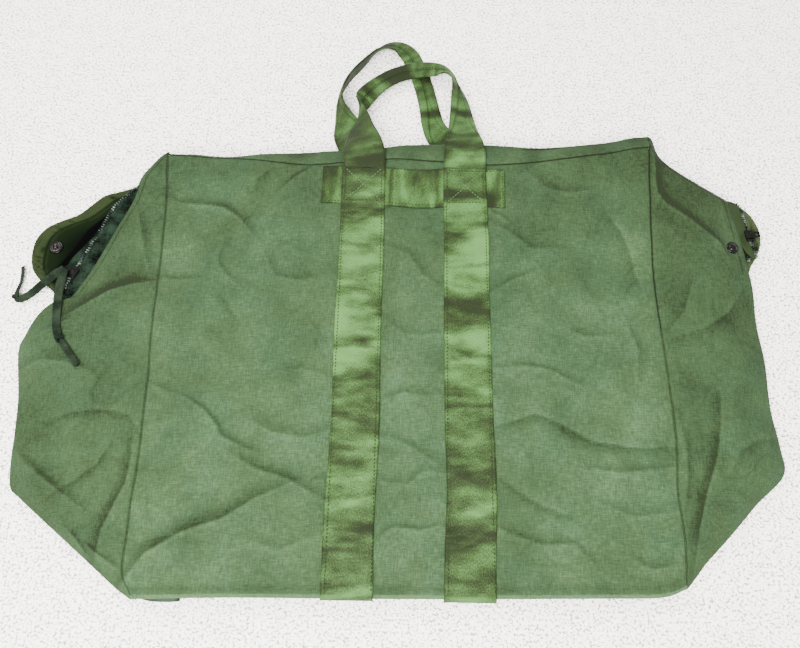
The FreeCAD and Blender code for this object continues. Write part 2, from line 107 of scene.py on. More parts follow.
class Shader:
    """A material under construction: short names for the nodes that the recipes below use."""

    def __init__(self, name, roughness, specular, metallic=0.0):
        self.material = bpy.data.materials.new(name)
        self.material.use_nodes = True
        self.tree = self.material.node_tree
        self.surface = self.tree.nodes["Principled BSDF"].inputs
        self.surface["Roughness"].default_value = roughness
        self.surface["Metallic"].default_value = metallic
        self.surface["Specular IOR Level"].default_value = specular

    def feed(self, socket, value):
        """Gives a socket its value, or links it where the value is another node's output."""
        if isinstance(value, bpy.types.NodeSocket):
            self.tree.links.new(value, socket)
        elif socket.type == "RGBA":
            socket.default_value = (*value, 1)
        else:
            socket.default_value = value

    def node(self, kind, inputs=None, **settings):
        made = self.tree.nodes.new("ShaderNode" + kind)
        for key, value in settings.items():
            setattr(made, key, value)
        for key, value in (inputs or {}).items():
            self.feed(made.inputs[key], value)
        return made.outputs

    def place(self, scale=(1, 1, 1), uv=False):
        source = self.node("TexCoord")["UV" if uv else "Object"]
        return self.node("Mapping", {"Vector": source, "Scale": scale})["Vector"]

    def noise(self, place, scale, detail=3.0, roughness=0.55, distortion=0.0):
        inputs = {"Vector": place, "Scale": scale, "Detail": detail, "Roughness": roughness,
                  "Distortion": distortion}
        return self.node("TexNoise", inputs)["Fac"]

    def wave(self, place, scale, direction):
        inputs = {"Vector": place, "Scale": scale, "Distortion": 0.4}
        return self.node("TexWave", inputs, bands_direction=direction)["Fac"]

    def attribute(self, name):
        return self.node("Attribute", attribute_name=name)["Fac"]

    def scaled(self, value, factor, offset=0.0):
        return self.node("Math", {0: value, 1: factor, 2: offset}, operation="MULTIPLY_ADD")[0]

    def sum(self, first, second, first_share=1.0, second_share=1.0):
        return self.scaled(first, first_share, self.scaled(second, second_share))

    def ramp(self, value, *stops):
        made = self.tree.nodes.new("ShaderNodeValToRGB")
        elements = made.color_ramp.elements
        while len(elements) < len(stops):
            elements.new(0.5)
        for element, (position, colour) in zip(elements, stops):
            element.position = position
            element.color = (*colour, 1)
        self.feed(made.inputs["Fac"], value)
        return made.outputs["Color"]

    def mix(self, share, first, second, blend="MIX"):
        inputs = {0: share, 6: first, 7: second}
        return self.node("Mix", inputs, data_type="RGBA", blend_type=blend)[2]

    def bump(self, height, strength, distance):
        inputs = {"Height": height, "Strength": strength, "Distance": distance}
        self.feed(self.surface["Normal"], self.node("Bump", inputs)["Normal"])

    def colour(self, value):
        self.feed(self.surface["Base Color"], value)

    def rough(self, value):
        self.feed(self.surface["Roughness"], value)


CLOTH_DARK = (0.0062, 0.0112, 0.0030)
CLOTH_MID = (0.0220, 0.0428, 0.0168)
CLOTH_LIGHT = (0.050, 0.088, 0.039)
BLUISH = (0.90, 0.985, 1.06)


def cloth_material():
    """Plain-weave nylon: a mottled cross-hatched weave, with painted shade and highlights in its creases."""
    shader = Shader("cloth_front", roughness=0.9, specular=0.12)
    place = shader.place()
    broad = shader.noise(place, 6.0, detail=4.0, roughness=0.6, distortion=0.6)
    blotch = shader.noise(place, 30.0, detail=2.0, roughness=0.5, distortion=0.8)
    warp = shader.noise(shader.place((1.0, 0.14, 1.0)), 900.0, detail=2.0)
    weft = shader.noise(shader.place((0.14, 1.0, 1.0)), 900.0, detail=2.0)
    weave = shader.sum(warp, weft)
    tone = shader.sum(shader.sum(broad, blotch, 0.18, 0.17), weave, 1.0, 0.37)
    # The vertex attribute adds painted shade and painted highlights at creases, folds, seams and edges.
    tone = shader.sum(tone, shader.attribute("painted_light"), 1.0, 1.25)
    green = shader.ramp(tone, (0.238, CLOTH_DARK), (0.548, CLOTH_MID), (0.798, CLOTH_LIGHT))
    tinted = shader.scaled(shader.noise(place, 14.0, distortion=1.0), 4.0, -1.6)
    shader.colour(shader.mix(tinted, green, BLUISH, "MULTIPLY"))
    shader.bump(weave, 0.35, 0.0005)
    return shader.material


def lining_material():
    """The coated inside of the cloth: blackish green and slightly glossy."""
    shader = Shader("cloth_lining", roughness=0.7, specular=0.12)
    place = shader.place()
    tone = shader.noise(place, 30.0, detail=4.0)
    shader.colour(shader.ramp(tone, (0.35, (0.010, 0.020, 0.012)), (0.70, (0.030, 0.055, 0.032))))
    shader.bump(shader.noise(place, 240.0), 0.3, 0.0006)
    return shader.material


def mouth_material():
    """The inside of the back half at a mouth: an olive hem, then painted shade that turns it dark green and
    then black further in.
    """
    shader = Shader("cloth_mouth", roughness=0.9, specular=0.02)
    place = shader.place()
    grain = shader.noise(place, 500.0, detail=2.0)
    uneven = shader.sum(shader.noise(place, 60.0, detail=4.0), grain, 0.10, 0.05)
    tone = shader.sum(shader.attribute("depth"), uneven)
    shader.colour(shader.ramp(
        tone, (0.075, (0.034, 0.050, 0.022)), (0.155, (0.017, 0.024, 0.010)), (0.24, (0.009, 0.014, 0.005)),
        (0.315, (0.003, 0.006, 0.002)), (0.575, (0.001, 0.002, 0.001)), (0.875, (0.0003, 0.0004, 0.0003))))
    shader.bump(shader.noise(place, 300.0), 0.35, 0.0006)
    return shader.material


def webbing_material():
    """Nylon webbing: painted satin sheen in light and dark green bands and patches across it, with a fine
    rib.
    """
    shader = Shader("webbing", roughness=0.7, specular=0.10)
    bands = shader.noise(shader.place((9.0, 30.0, 1.0), uv=True), 1.0, detail=2.0, distortion=0.7)
    patches = shader.noise(shader.place((34.0, 60.0, 1.0), uv=True), 1.0, detail=4.0, roughness=0.6)
    grain = shader.noise(shader.place((900.0, 600.0, 1.0), uv=True), 1.0, detail=2.0)
    # The noises are scaled up for contrast, and the offset brings their middle back into the ramp.
    tone = shader.sum(shader.sum(bands, patches, 1.9, 0.85), grain, 1.0, 0.90)
    # The vertex attribute adds painted sheen and shade along the straps and painted shade at their edges.
    tone = shader.sum(shader.scaled(tone, 1.0, -1.38), shader.attribute("painted_light"))
    shader.colour(shader.ramp(
        tone, (0.15, (0.006, 0.010, 0.002)), (0.38, (0.014, 0.028, 0.006)),
        (0.55, (0.025, 0.058, 0.014)), (0.85, (0.052, 0.124, 0.033))))
    ribs = shader.wave(shader.place(uv=True), 330.0, "Y")
    shader.bump(shader.sum(ribs, grain, 0.5, 0.5), 0.45, 0.0006)
    shader.rough(shader.scaled(bands, -0.2, 0.72))
    return shader.material


def tape_material(name, dark, light, tone_shift=None):
    """Dark woven tape; where its "fade" attribute is 1 it takes the second colour given instead."""
    shader = Shader(name, roughness=0.8, specular=0.03)
    place = shader.place()
    grain = shader.noise(place, 450.0, detail=2.0)
    tone = shader.sum(grain, shader.noise(place, 75.0, detail=1.0), 0.35, 0.65)
    colour = shader.ramp(tone, (0.36, dark), (0.66, light))
    if tone_shift:
        colour = shader.mix(shader.attribute("fade"), colour, tone_shift)
    shader.colour(colour)
    twill = shader.wave(place, 700.0, "DIAGONAL")
    shader.bump(shader.sum(twill, grain, 0.5, 0.5), 0.5, 0.0005)
    return shader.material


def metal_material(name, base, wear_and_glint, roughness, scale, specular, metallic=0.0):
    """Metal or enamel with a second colour in patches: wear, and on the zip teeth painted glints; scale sets
    how small they are.
    """
    shader = Shader(name, roughness, specular, metallic)
    tone = shader.noise(shader.place(), scale, detail=4.0, roughness=0.65)
    shader.colour(shader.ramp(tone, (0.48, base), (0.76, wear_and_glint)))
    shader.rough(shader.scaled(tone, 0.3, roughness - 0.15))
    shader.bump(tone, 0.15, 0.0003)
    return shader.material


def thread_material(name, dark, light):
    shader = Shader(name, roughness=0.8, specular=0.12)
    tone = shader.noise(shader.place(), 500.0, detail=2.0)
    shader.colour(shader.ramp(tone, (0.3, dark), (0.7, light)))
    return shader.material


def floor_material():
    """A pale short-pile surface."""
    shader = Shader("pale_floor", roughness=0.95, specular=0.2)
    place = shader.place()
    pile = shader.noise(place, 360.0, roughness=0.8)
    tone = shader.sum(pile, shader.noise(place, 60.0), 0.9, 0.1)
    shader.colour(shader.ramp(tone, (0.43, (0.26, 0.23, 0.18)), (0.49, (1.0, 0.99, 0.97))))
    shader.bump(tone, 0.6, 0.002)
    return shader.material


cloth = cloth_material()
lining = lining_material()
mouth_cloth = mouth_material()
webbing = webbing_material()
# The zip tape's dark green is painted nearly black as the shade inside the mouths; at the right end it turns
# olive.
zip_cloth = tape_material("zip_tape", (0.0002, 0.0006, 0.0003), (0.009, 0.018, 0.011),
                          tone_shift=(0.014, 0.022, 0.009))
thong_cloth = tape_material("thong_tape", (0.004, 0.007, 0.004), (0.013, 0.020, 0.012))
# The zip teeth are black metal; their lighter patches are painted glints.
tooth_metal = metal_material("zip_teeth", (0.001, 0.002, 0.002), (0.17, 0.21, 0.19), roughness=0.30,
                             scale=160.0, specular=0.10, metallic=0.2)
hardware_metal = metal_material("zip_hardware", (0.001, 0.001, 0.001), (0.006, 0.006, 0.005),
                                roughness=0.32, scale=350.0, specular=0.08)
snap_enamel = metal_material("snap_enamel", (0.0005, 0.0005, 0.0005), (0.0012, 0.0012, 0.0012),
                             roughness=0.20, scale=60.0, specular=0.13)
snap_metal = metal_material("snap_metal", (0.02, 0.015, 0.014), (0.12, 0.090, 0.088), roughness=0.40,
                            scale=350.0, specular=0.5, metallic=0.9)
thread = thread_material("sewing_thread", (0.004, 0.010, 0.002), (0.014, 0.028, 0.007))
pale_thread = thread_material("pale_thread", (0.030, 0.058, 0.021), (0.066, 0.112, 0.046))
# The seam cords are thin dark lines of painted shade in the seams' grooves.
seam_shade_dark = thread_material("seam_shade_dark", (0.0010, 0.0015, 0.0006), (0.004, 0.007, 0.002))
seam_shade_pale = thread_material("seam_shade_pale", (0.008, 0.014, 0.005), (0.022, 0.038, 0.015))

# ---- mesh helpers ----------------------------------------------------------------------------


def link_mesh(name, verts, faces, material, attributes=None, uv=None):
    mesh = bpy.data.meshes.new(name)
    mesh.from_pydata([tuple(v) for v in verts], [], [tuple(int(i) for i in f) for f in faces])
    mesh.polygons.foreach_set("use_smooth", [True] * len(mesh.polygons))
    for key, values in (attributes or {}).items():
        layer = mesh.attributes.new(key, "FLOAT", "POINT")
        layer.data.foreach_set("value", np.asarray(values, np.float32))
    if uv is not None:
        layer = mesh.uv_layers.new(name="UVMap")
        loops = np.zeros(len(mesh.loops), np.int32)
        mesh.loops.foreach_get("vertex_index", loops)
        layer.data.foreach_set("uv", np.asarray(uv, np.float32)[loops].ravel())
    mesh.materials.append(material)
    mesh.update()
    return new_object(name, mesh)


def grid_faces(rows, columns, closed=False):
    """Quads of a grid whose points run along each row; closed joins the last column to the first."""
    index = np.arange(rows * columns).reshape(rows, columns)
    if closed:
        index = np.hstack([index, index[:, :1]])
    a, b = index[:-1, :-1], index[:-1, 1:]
    c, d = index[1:, 1:], index[1:, :-1]
    return np.stack([a, b, c, d], -1).reshape(-1, 4)


def box_mm(node):
    """The lowest and highest corners of a CAD node, in millimetres."""
    return [np.array(corner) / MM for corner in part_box(node)]


def bell(distance, width, power=2):
    """1 at no distance, falling to 0 beyond the width; a higher power has a flatter top."""
    return np.exp(-(distance / width) ** power)


def rise(value, width):
    """A smooth step from 0 to 1 as the value passes 0."""
    return 0.5 + 0.5 * np.tanh(value / (2 * width))


def circle(sides):
    """Cosines and sines of evenly spaced directions."""
    angles = np.linspace(0, 2 * math.pi, sides, endpoint=False)
    return np.cos(angles), np.sin(angles)


def unit(vectors):
    return vectors / np.maximum(np.linalg.norm(vectors, axis=-1, keepdims=True), 1e-6)


def directions(line):
    """Unit directions along a line, and level across it, at each of its points."""
    along = unit(np.gradient(line, axis=0))
    return along, unit(np.cross(along, UP))


def distances(line):
    """How far along a line each of its points lies."""
    return np.r_[0, np.cumsum(np.linalg.norm(np.diff(line, axis=0), axis=1))]


def sample(line, at, steps=None):
    """Points of a line at the given distances along it."""
    steps = distances(line) if steps is None else steps
    return np.stack([np.interp(at, steps, line[:, k]) for k in range(line.shape[1])], -1)


SPAN_STEPS = 24     # between two points of a drawn line
EDGE_STEPS = 500


def smooth_line(points, count):
    """Evenly spaced points along a smooth curve through the given points."""
    p = np.asarray(points, float)
    p = np.vstack([2 * p[0] - p[1], p, 2 * p[-1] - p[-2]])
    fine = []
    for a, b, c, d in zip(p, p[1:], p[2:], p[3:]):
        s = np.linspace(0, 1, SPAN_STEPS, endpoint=False)[:, None]
        fine.append(0.5 * (2 * b + (c - a) * s + (2 * a - 5 * b + 4 * c - d) * s ** 2
                           + (3 * b - 3 * c + d - a) * s ** 3))
    fine = np.vstack(fine + [p[-2][None]])
    return sample(fine, np.linspace(0, distances(fine)[-1], count))


def along_edge(points, shares):
    """Points at the given shares of a smooth line, from 0 to 1."""
    return sample(smooth_line(points, EDGE_STEPS), shares, np.linspace(0, 1, EDGE_STEPS))


def finished(piece, body, slot, *nodes):
    """The piece, riding on its body in place of the CAD nodes; slot is not used."""
    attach(piece, body)
    if nodes:
        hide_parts(*nodes)
    return piece


def thicken(piece, thickness, offset=0.0):
    solid = piece.modifiers.new("thickness", "SOLIDIFY")
    solid.thickness = thickness * MM
    solid.offset = offset
    return solid


def outward_normals(piece):
    """Turns the faces of a closed mesh outwards."""
    mesh = bmesh.new()
    mesh.from_mesh(piece.data)
    bmesh.ops.recalc_face_normals(mesh, faces=mesh.faces)
    mesh.to_mesh(piece.data)
    mesh.free()


def swept(name, rings, material, attributes=None, uv=None):
    """A closed tube through rings of points, with flat ends."""
    count, sides = rings.shape[:2]
    faces = [list(face) for face in grid_faces(count, sides, closed=True)]
    faces += [list(range(sides)), list(range((count - 1) * sides, count * sides))]
    piece = link_mesh(name, rings.reshape(-1, 3) * MM, faces, material, attributes, uv)
    outward_normals(piece)
    return piece


WAVE_COUNT = 20


def waves(x, y, size, seed):
    """Smooth noise between about -1 and 1, with features of the given size in millimetres."""
    draw = np.random.default_rng(seed)
    total = np.zeros_like(x)
    for _ in range(WAVE_COUNT):
        angle = draw.uniform(0, 2 * math.pi)
        k = 2 * math.pi / (size * draw.uniform(0.7, 1.6))
        total += np.cos(k * (x * math.cos(angle) + y * math.sin(angle)) + draw.uniform(0, 2 * math.pi))
    return total / math.sqrt(WAVE_COUNT)


def distance_to(points, x, y):
    """Distance to a line in plan, the side it lies on, and how far along the line, from 0 to 1."""
    p = np.asarray(points, float)
    reach = distances(p)
    lengths = np.diff(reach)
    best = np.full(x.shape, 1e9)
    side = np.zeros(x.shape)
    share = np.zeros(x.shape)
    for index in range(len(p) - 1):
        run = p[index + 1] - p[index]
        t = np.clip(((x - p[index, 0]) * run[0] + (y - p[index, 1]) * run[1]) / lengths[index] ** 2, 0, 1)
        dx, dy = x - (p[index, 0] + t * run[0]), y - (p[index, 1] + t * run[1])
        d = np.hypot(dx, dy)
        nearer = d < best
        best = np.where(nearer, d, best)
        side = np.where(nearer, np.sign(run[0] * dy - run[1] * dx), side)
        share = np.where(nearer, (reach[index] + t * lengths[index]) / reach[-1], share)
    return best, side, share


def turn_about(across, up, degrees):
    """Both directions turned about the line that they stand on."""
    turn = np.radians(degrees)[:, None]
    return across * np.cos(turn) + up * np.sin(turn), up * np.cos(turn) - across * np.sin(turn)


# ---- thongs ----------------------------------------------------------------------------------

THONG_WIDTH = 9.0
THONG_THICKNESS = 1.3
THONG_CUP = 0.5         # how far the middle of the tape stands below its edges
TAIL_WIDTH = 0.78       # past the knot, as a share of the width
KNOT_PINCH, KNOT_REACH = 0.55, 0.03
ROOT_PINCH, ROOT_REACH = 0.35, 0.06
THONG_OUTER = [
    (-374.2, -2.3, 27.2), (-383, -9, 24.5), (-400, -17, 15), (-416, -28, 7), (-427, -33, 5.5), (-434, -30, 5),
    (-433, -20, 4), (-431, -6, 3), (-434, 10, 3),
]
THONG_INNER = [
    (-371, -3.7, 27.2), (-374.5, -14, 26), (-376, -34, 23), (-373, -58, 23.2), (-368, -80, 25.9),
    (-359, -92, 25.6), (-346, -107, 27), (-337, -118, 28.4),
]


def spline_path(name, route):
    """Points read from a smooth open curve through the route's neighbourhood."""
    data = bpy.data.curves.new(name, "CURVE")
    data.dimensions = "3D"
    data.resolution_u = 16
    spline = data.splines.new("NURBS")
    spline.points.add(len(route) - 1)
    for point, place in zip(spline.points, route):
        point.co = (*(c * MM for c in place), 1)
    spline.order_u = 3
    spline.use_endpoint_u = True
    curve = new_object(name, data)
    bpy.context.view_layer.update()
    mesh = bpy.data.meshes.new_from_object(curve)
    path = np.array([v.co[:] for v in mesh.vertices])
    bpy.data.meshes.remove(mesh)
    bpy.data.objects.remove(curve)
    return path


def thong(node, route, knot_share, tilt_low, tilt_high):
    """A flat tape that hangs from the zip pull and lies over the cloth, knotted near its end."""
    path = spline_path(node + "_line", route)
    line = smooth_line(path / MM, 150)
    share = distances(line) / distances(line)[-1]
    along, across = directions(line)
    tilt = tilt_low + (tilt_high - tilt_low) * share + 10 * np.sin(9 * share)
    across, up = turn_about(across, np.cross(across, along), tilt)
    width = THONG_WIDTH * np.where(share > knot_share, TAIL_WIDTH, 1.0)
    width *= 1 - KNOT_PINCH * bell(share - knot_share, KNOT_REACH)
    width *= 1 - ROOT_PINCH * bell(share, ROOT_REACH)
    a = np.r_[np.linspace(-1, 1, 9), np.linspace(1, -1, 9)]
    face = np.repeat([1, -1], 9)
    edge = np.sqrt(np.clip(1 - np.abs(a) ** 6, 0.05, 1))
    height = face * edge * THONG_THICKNESS / 2 - THONG_CUP * (1 - a ** 2)
    rings = (line[:, None] + across[:, None] * (a[None] * width[:, None] / 2)[..., None]
             + up[:, None] * height[None, :, None])
    piece = finished(swept(node + "_tape", rings, thong_cloth), "slider_left", "thong", node)
    at = int(np.argmin(np.abs(share - knot_share)))
    knot = knot_piece(node + "_knot", line[at], along[at], across[at], up[at])


def knot_piece(name, centre, along, across, up):
    """An overhand knot: a short wrap of tape around the thong."""
    half_length, half_width, half_height = 2.2, 4.0, 2.3
    tape_half_width, tape_half_thickness = 2.3, 0.85
    count = 70
    t = np.linspace(0, 2 * math.pi * 1.15, count)
    core = centre + np.outer(np.linspace(-half_length, half_length, count), along)
    line = core + np.outer(half_width * np.cos(t), across) + np.outer(half_height * np.sin(t), up)
    cos, sin = circle(12)
    rings = (line[:, None] + cos[None, :, None] * tape_half_width * along[None, None]
             + sin[None, :, None] * tape_half_thickness * unit(core - line)[:, None])
    return finished(swept(name, rings, thong_cloth), "slider_left", "thong")


# ---- the shape of the front ------------------------------------------------------------------

panel_low, panel_high = box_mm("front_panel")
BOTTOM_Y = panel_low[1]
PANEL_HEIGHT = panel_high[1] - panel_low[1]
FRONT_LOW_Z = 16.0
FRONT_RISE = 20.0
NOSE = 4.0          # radius of the bottom fold
CLOTH_THICKNESS = 1.0
BACK_LEVEL = 4.6
RIM_BASE = 4.4      # an edge drawn higher than this stands up as a rim
SEAM_SPAN = 562     # between the side seams
SEAM_TO_FOLD = 490

# Seams and edges, each from the top or the left.
LEFT_SEAM = [(-273, 142), (-268, 82), (-265, 7), (-264, -66), (-261, -141), (-259, -223), (-260, -285),
             (-260, -322), (-249, -344)]
RIGHT_SEAM = [(296, 161), (291, 87), (288, 46), (287, -28), (289, -64), (291, -120), (291, -179), (287, -235),
              (290, -285), (287, -326)]
TOP_SEAM = [(-273, 142), (-207, 141), (-150, 138), (-98, 135), (-60, 138), (-16, 143), (51, 141), (120, 139),
            (189, 148), (244, 155), (296, 161)]
TOP_EDGE = [(-272, 146), (-235, 146), (-194, 146), (-140, 152), (-85, 157), (-40, 159), (27, 167), (97, 170),
            (160, 168), (215, 170), (276, 177), (299, 179)]
BOTTOM_EDGE = [(-249, -344), (-150, -341), (-20, -340), (106, -338), (204, -336), (262, -334), (287, -326)]

# Creases: points, height, width of the steep side, width of the gentle side.
# A positive height puts the steep side on the left of the drawn direction, a negative one on the right.
CREASES = [
    ([(-262, 84), (-248, 77), (-225, 76), (-200, 73), (-180, 60), (-163, 40)], 3.0, 9, 40),
    ([(-196, 28), (-200, 6), (-192, -8), (-172, -22)], 1.6, 5, 20),
    ([(-262, -14), (-240, -18), (-212, -14)], 1.5, 5, 22),
    ([(-105, 130), (-122, 118), (-140, 98)], -2.2, 5, 22),
    ([(-150, 128), (-165, 110), (-168, 95)], 1.6, 8, 20),
    ([(-66, 134), (-82, 122), (-95, 112)], 1.4, 3, 10),
    ([(-150, 20), (-135, -10), (-105, -14), (-80, -6)], 1.6, 7, 30),
    ([(-198, -28), (-185, -45), (-169, -68)], -1.4, 6, 25),
    ([(-258, -134), (-245, -140), (-236, -145)], 1.6, 3, 15),
    ([(-222, -148), (-200, -160), (-184, -176), (-176, -190), (-160, -198), (-140, -206)], 3.0, 4, 40),
    ([(-168, -206), (-140, -222), (-105, -232), (-68, -252)], 2.8, 8, 30),
    ([(-268, -344), (-258, -330), (-240, -305), (-205, -285), (-168, -272), (-135, -250), (-104, -236)],
     3.4, 11, 45),
    ([(-255, -300), (-225, -290), (-190, -292)], -1.6, 9, 25),
    ([(-150, -172), (-125, -185), (-95, -190), (-72, -184)], 1.8, 12, 25),
    ([(-120, -120), (-100, -116), (-70, -124)], 1.3, 8, 25),
    ([(-86, -236), (-76, -229), (-68, -226)], -1.6, 3, 8),
    ([(-145, -290), (-110, -300), (-72, -285)], 1.3, 10, 30),
    ([(-14, -291), (-6, -281), (4, -277), (28, -279), (52, -274)], 2.6, 4, 22),
    ([(-14, -186), (6, -190), (24, -200), (46, -214)], 1.8, 6, 22),
    ([(-12, -148), (10, -140), (34, -144), (50, -140)], 1.5, 7, 24),
    ([(-12, -232), (14, -236), (30, -222), (50, -222)], 1.5, 7, 22),
    ([(-12, 30), (14, 20), (30, -8), (50, -20)], 1.4, 8, 26),
    ([(-12, -58), (12, -76), (50, -74)], 1.2, 8, 26),
    ([(104, -176), (125, -170), (147, -162), (172, -172), (205, -190), (245, -196), (286, -194)],
     -3.2, 9, 38),
    ([(200, -216), (230, -220), (284, -214)], 2.0, 7, 24),
    ([(108, -112), (135, -108), (165, -112), (198, -129)], 2.2, 5, 30),
    ([(106, -226), (124, -240), (150, -256), (182, -267)], -2.4, 6, 26),
    ([(104, -276), (125, -284), (149, -291), (180, -290), (196, -306)], 2.4, 5, 26),
    ([(106, -24), (130, -10), (156, 0)], 2.0, 6, 28),
    ([(104, 62), (128, 50), (150, 30), (186, 30)], 1.8, 8, 30),
    ([(106, 118), (112, 124), (118, 130)], 1.6, 3, 10),
    ([(106, 78), (120, 70), (130, 60)], 1.8, 3, 12),
    ([(240, 74), (252, 50), (262, 20), (270, -19)], -2.2, 10, 30),
    ([(150, 132), (172, 112), (196, 104), (230, 108)], 1.6, 8, 26),
    ([(252, -60), (262, -90), (258, -120)], 1.6, 9, 30),
    ([(208, -250), (238, -262), (282, -258)], 1.6, 8, 26),
    ([(230, -300), (255, -312), (284, -306)], 1.6, 7, 20),
    ([(178, -60), (205, -75), (240, -74)], 1.4, 9, 28),
    # left end
    ([(-360, -56), (-340, -44), (-318, -32), (-296, -24), (-272, -19)], 4.2, 13, 45),
    ([(-385, -76), (-366, -66), (-352, -60)], 1.8, 7, 22),
    ([(-404, -118), (-380, -108), (-350, -112), (-322, -124)], 1.8, 12, 36),
    ([(-300, 70), (-292, 48), (-284, 20), (-278, 0)], 2.0, 10, 26),
    ([(-362, -176), (-330, -166), (-300, -166), (-276, -170), (-263, -186)], -2.4, 7, 30),
    ([(-392, -206), (-372, -222), (-345, -240), (-312, -262)], 2.4, 8, 30),
    ([(-340, -250), (-322, -240), (-300, -222), (-290, -200)], -2.2, 7, 24),
    ([(-268, -190), (-267, -214), (-268, -240), (-276, -262), (-286, -285), (-290, -313)], -3.4, 9, 24),
    ([(-302, -296), (-288, -306), (-268, -318)], 3.0, 4, 14),
    ([(-322, -284), (-312, -292), (-300, -306)], 2.8, 5, 16),
    # right end
    ([(303, 154), (302, 128), (301, 102), (309, 87), (330, 74), (350, 58), (364, 46)], 4.4, 9, 40),
    ([(362, 50), (370, 42), (376, 30)], 2.0, 5, 20),
    ([(343, -140), (338, -170), (330, -200), (316, -235), (304, -275), (296, -312)], -3.4, 10, 36),
    ([(296, -160), (300, -190), (298, -225), (292, -255)], 2.0, 6, 20),
    ([(392, -10), (370, -40), (338, -62), (308, -72)], 2.0, 12, 36),
    ([(402, -180), (378, -184), (356, -196), (345, -214)], 1.8, 9, 30),
    ([(330, -4), (318, -40), (300, -62)], -1.8, 10, 30),
]
CREASE_ROUNDING = 0.6
STEEP_SHARE = 0.75      # of the drawn widths
GENTLE_SHARE = 0.60
STEEP_SHADE = 0.105
LINE_SHADE = 0.030
CREST_LIGHT = 0.034
DARKEST, LIGHTEST = -0.26, 0.12
# Sets of faint straight folds: spacing, height, how much painted shade darkens their lines, seed.
FAINT_FOLDS = ((130, 1.5, 0.040, 3), (64, 0.7, 0.028, 4))
FOLD_DIRECTIONS = 6
STRAP_HOLD = 0.45       # share of the relief that a strap presses flat


def crumple(x, y, pitch, seed):
    """Faint straight folds in several directions: heights from 0 to 1 and how close each point is to one."""
    draw = np.random.default_rng(seed)
    height, line = np.zeros_like(x), np.zeros_like(x)
    for number in range(FOLD_DIRECTIONS):
        angle = draw.uniform(0, math.pi)
        across = (x * math.cos(angle) + y * math.sin(angle)) / (pitch * draw.uniform(0.7, 1.5))
        across = across + draw.uniform(0, 1) + 0.12 * waves(x, y, 70, seed + number)
        fade = np.clip(1.2 * waves(x, y, 1.1 * pitch, seed + 50 + number), 0, 1)
        fold = 2 * np.abs(across - np.round(across))
        height += fade * fold
        line = np.maximum(line, fade * bell(fold * pitch / 2, 2.2))
    return height, line


def relief(x, y):
    """Creases and soft unevenness of the front in millimetres, and the painted shade and highlights that go
    with them.
    """
    z = 1.4 * waves(x, y, 170, 1) + 0.5 * waves(x, y, 62, 2)
    shade = 0.024 * waves(x, y, 95, 21) + 0.010 * waves(x, y, 34, 22)
    for pitch, depth, dark, seed in FAINT_FOLDS:
        folds, line = crumple(x, y, pitch, seed)
        z += depth * folds
        shade -= dark * line
    # Painted shade: the cloth is a little darker towards its ends and its top, most of all near the top seam.
    shade += 0.02 - 0.075 * np.clip((y + 150) / 300, 0, 1) - 0.05 * np.clip((np.abs(x) - 250) / 60, 0, 1)
    shade -= 0.05 * np.clip((y - 80) / 60, 0, 1)
    for points, height, steep, gentle in CREASES:
        d, side, share = distance_to(points, x, y)
        steep, gentle = STEEP_SHARE * steep, GENTLE_SHARE * gentle
        size = abs(height) * np.sin(math.pi * np.clip(0.10 + 0.80 * share, 0, 1)) ** 0.8
        steepness = rise(side * np.sign(height) * d, 0.6)
        rounded = np.sqrt(d ** 2 + CREASE_ROUNDING ** 2)
        fall = steepness * np.exp(-rounded / steep) + (1 - steepness) * np.exp(-rounded / gentle)
        z += size * fall
        # Painted shade on the steep side and along the crease line, and a painted highlight beside the crest
        # on the gentle side.
        shade -= STEEP_SHADE * size / 2 * steepness * bell(d, 1.15 * steep)
        shade -= LINE_SHADE * size * bell(d, 1.2)
        shade += CREST_LIGHT * size * (1 - steepness) * np.exp(-d / 3.5)
    return z, np.clip(shade, DARKEST, LIGHTEST)


def base_height(x, y):
    """Height of the front panel before its creases: a slope that rises to its two top corners."""
    v = (y - BOTTOM_Y) / PANEL_HEIGHT
    right_corner = 7.0 * bell(x - 300, 70) * bell(y - 175, 60)
    left_corner = 3.0 * bell(x + 270, 60) * bell(y - 150, 60)
    return FRONT_LOW_Z + FRONT_RISE * v + right_corner + left_corner


def strap_press(x):
    """1 where a strap holds the cloth flat, 0 elsewhere."""
    press = np.zeros_like(x)
    for node in ("strap_left", "strap_right"):
        low, high = (corner[0] for corner in box_mm(node))
        press = np.maximum(press, rise((high - low) / 2 - np.abs(x - (low + high) / 2), 3))
    return press


def front_height(x, y):
    return base_height(x, y) + relief(x, y)[0] * (1 - STRAP_HOLD * strap_press(x))


def graded(count, span):
    """Shares from 0 to 1 over a span in millimetres, with extra ones close to both ends."""
    ends = np.array([0, 0.5, 1.0, 1.8, 3.0]) / span
    middle = np.linspace(4.5 / span, 1 - 4.5 / span, count)
    return np.r_[ends, middle, 1 - ends[::-1]]


def coons(top, bottom, left, right, u, v):
    """A patch in plan between four edges; u runs left to right and v runs top to bottom."""
    t, b, l, r = along_edge(top, u), along_edge(bottom, u), along_edge(left, v), along_edge(right, v)
    uu, vv = u[None, :, None], v[:, None, None]
    ruled = (1 - vv) * t[None] + vv * b[None] + (1 - uu) * l[:, None] + uu * r[:, None]
    corners = (1 - uu) * (1 - vv) * t[0] + uu * (1 - vv) * t[-1] + (1 - uu) * vv * b[0] + uu * vv * b[-1]
    return ruled - corners


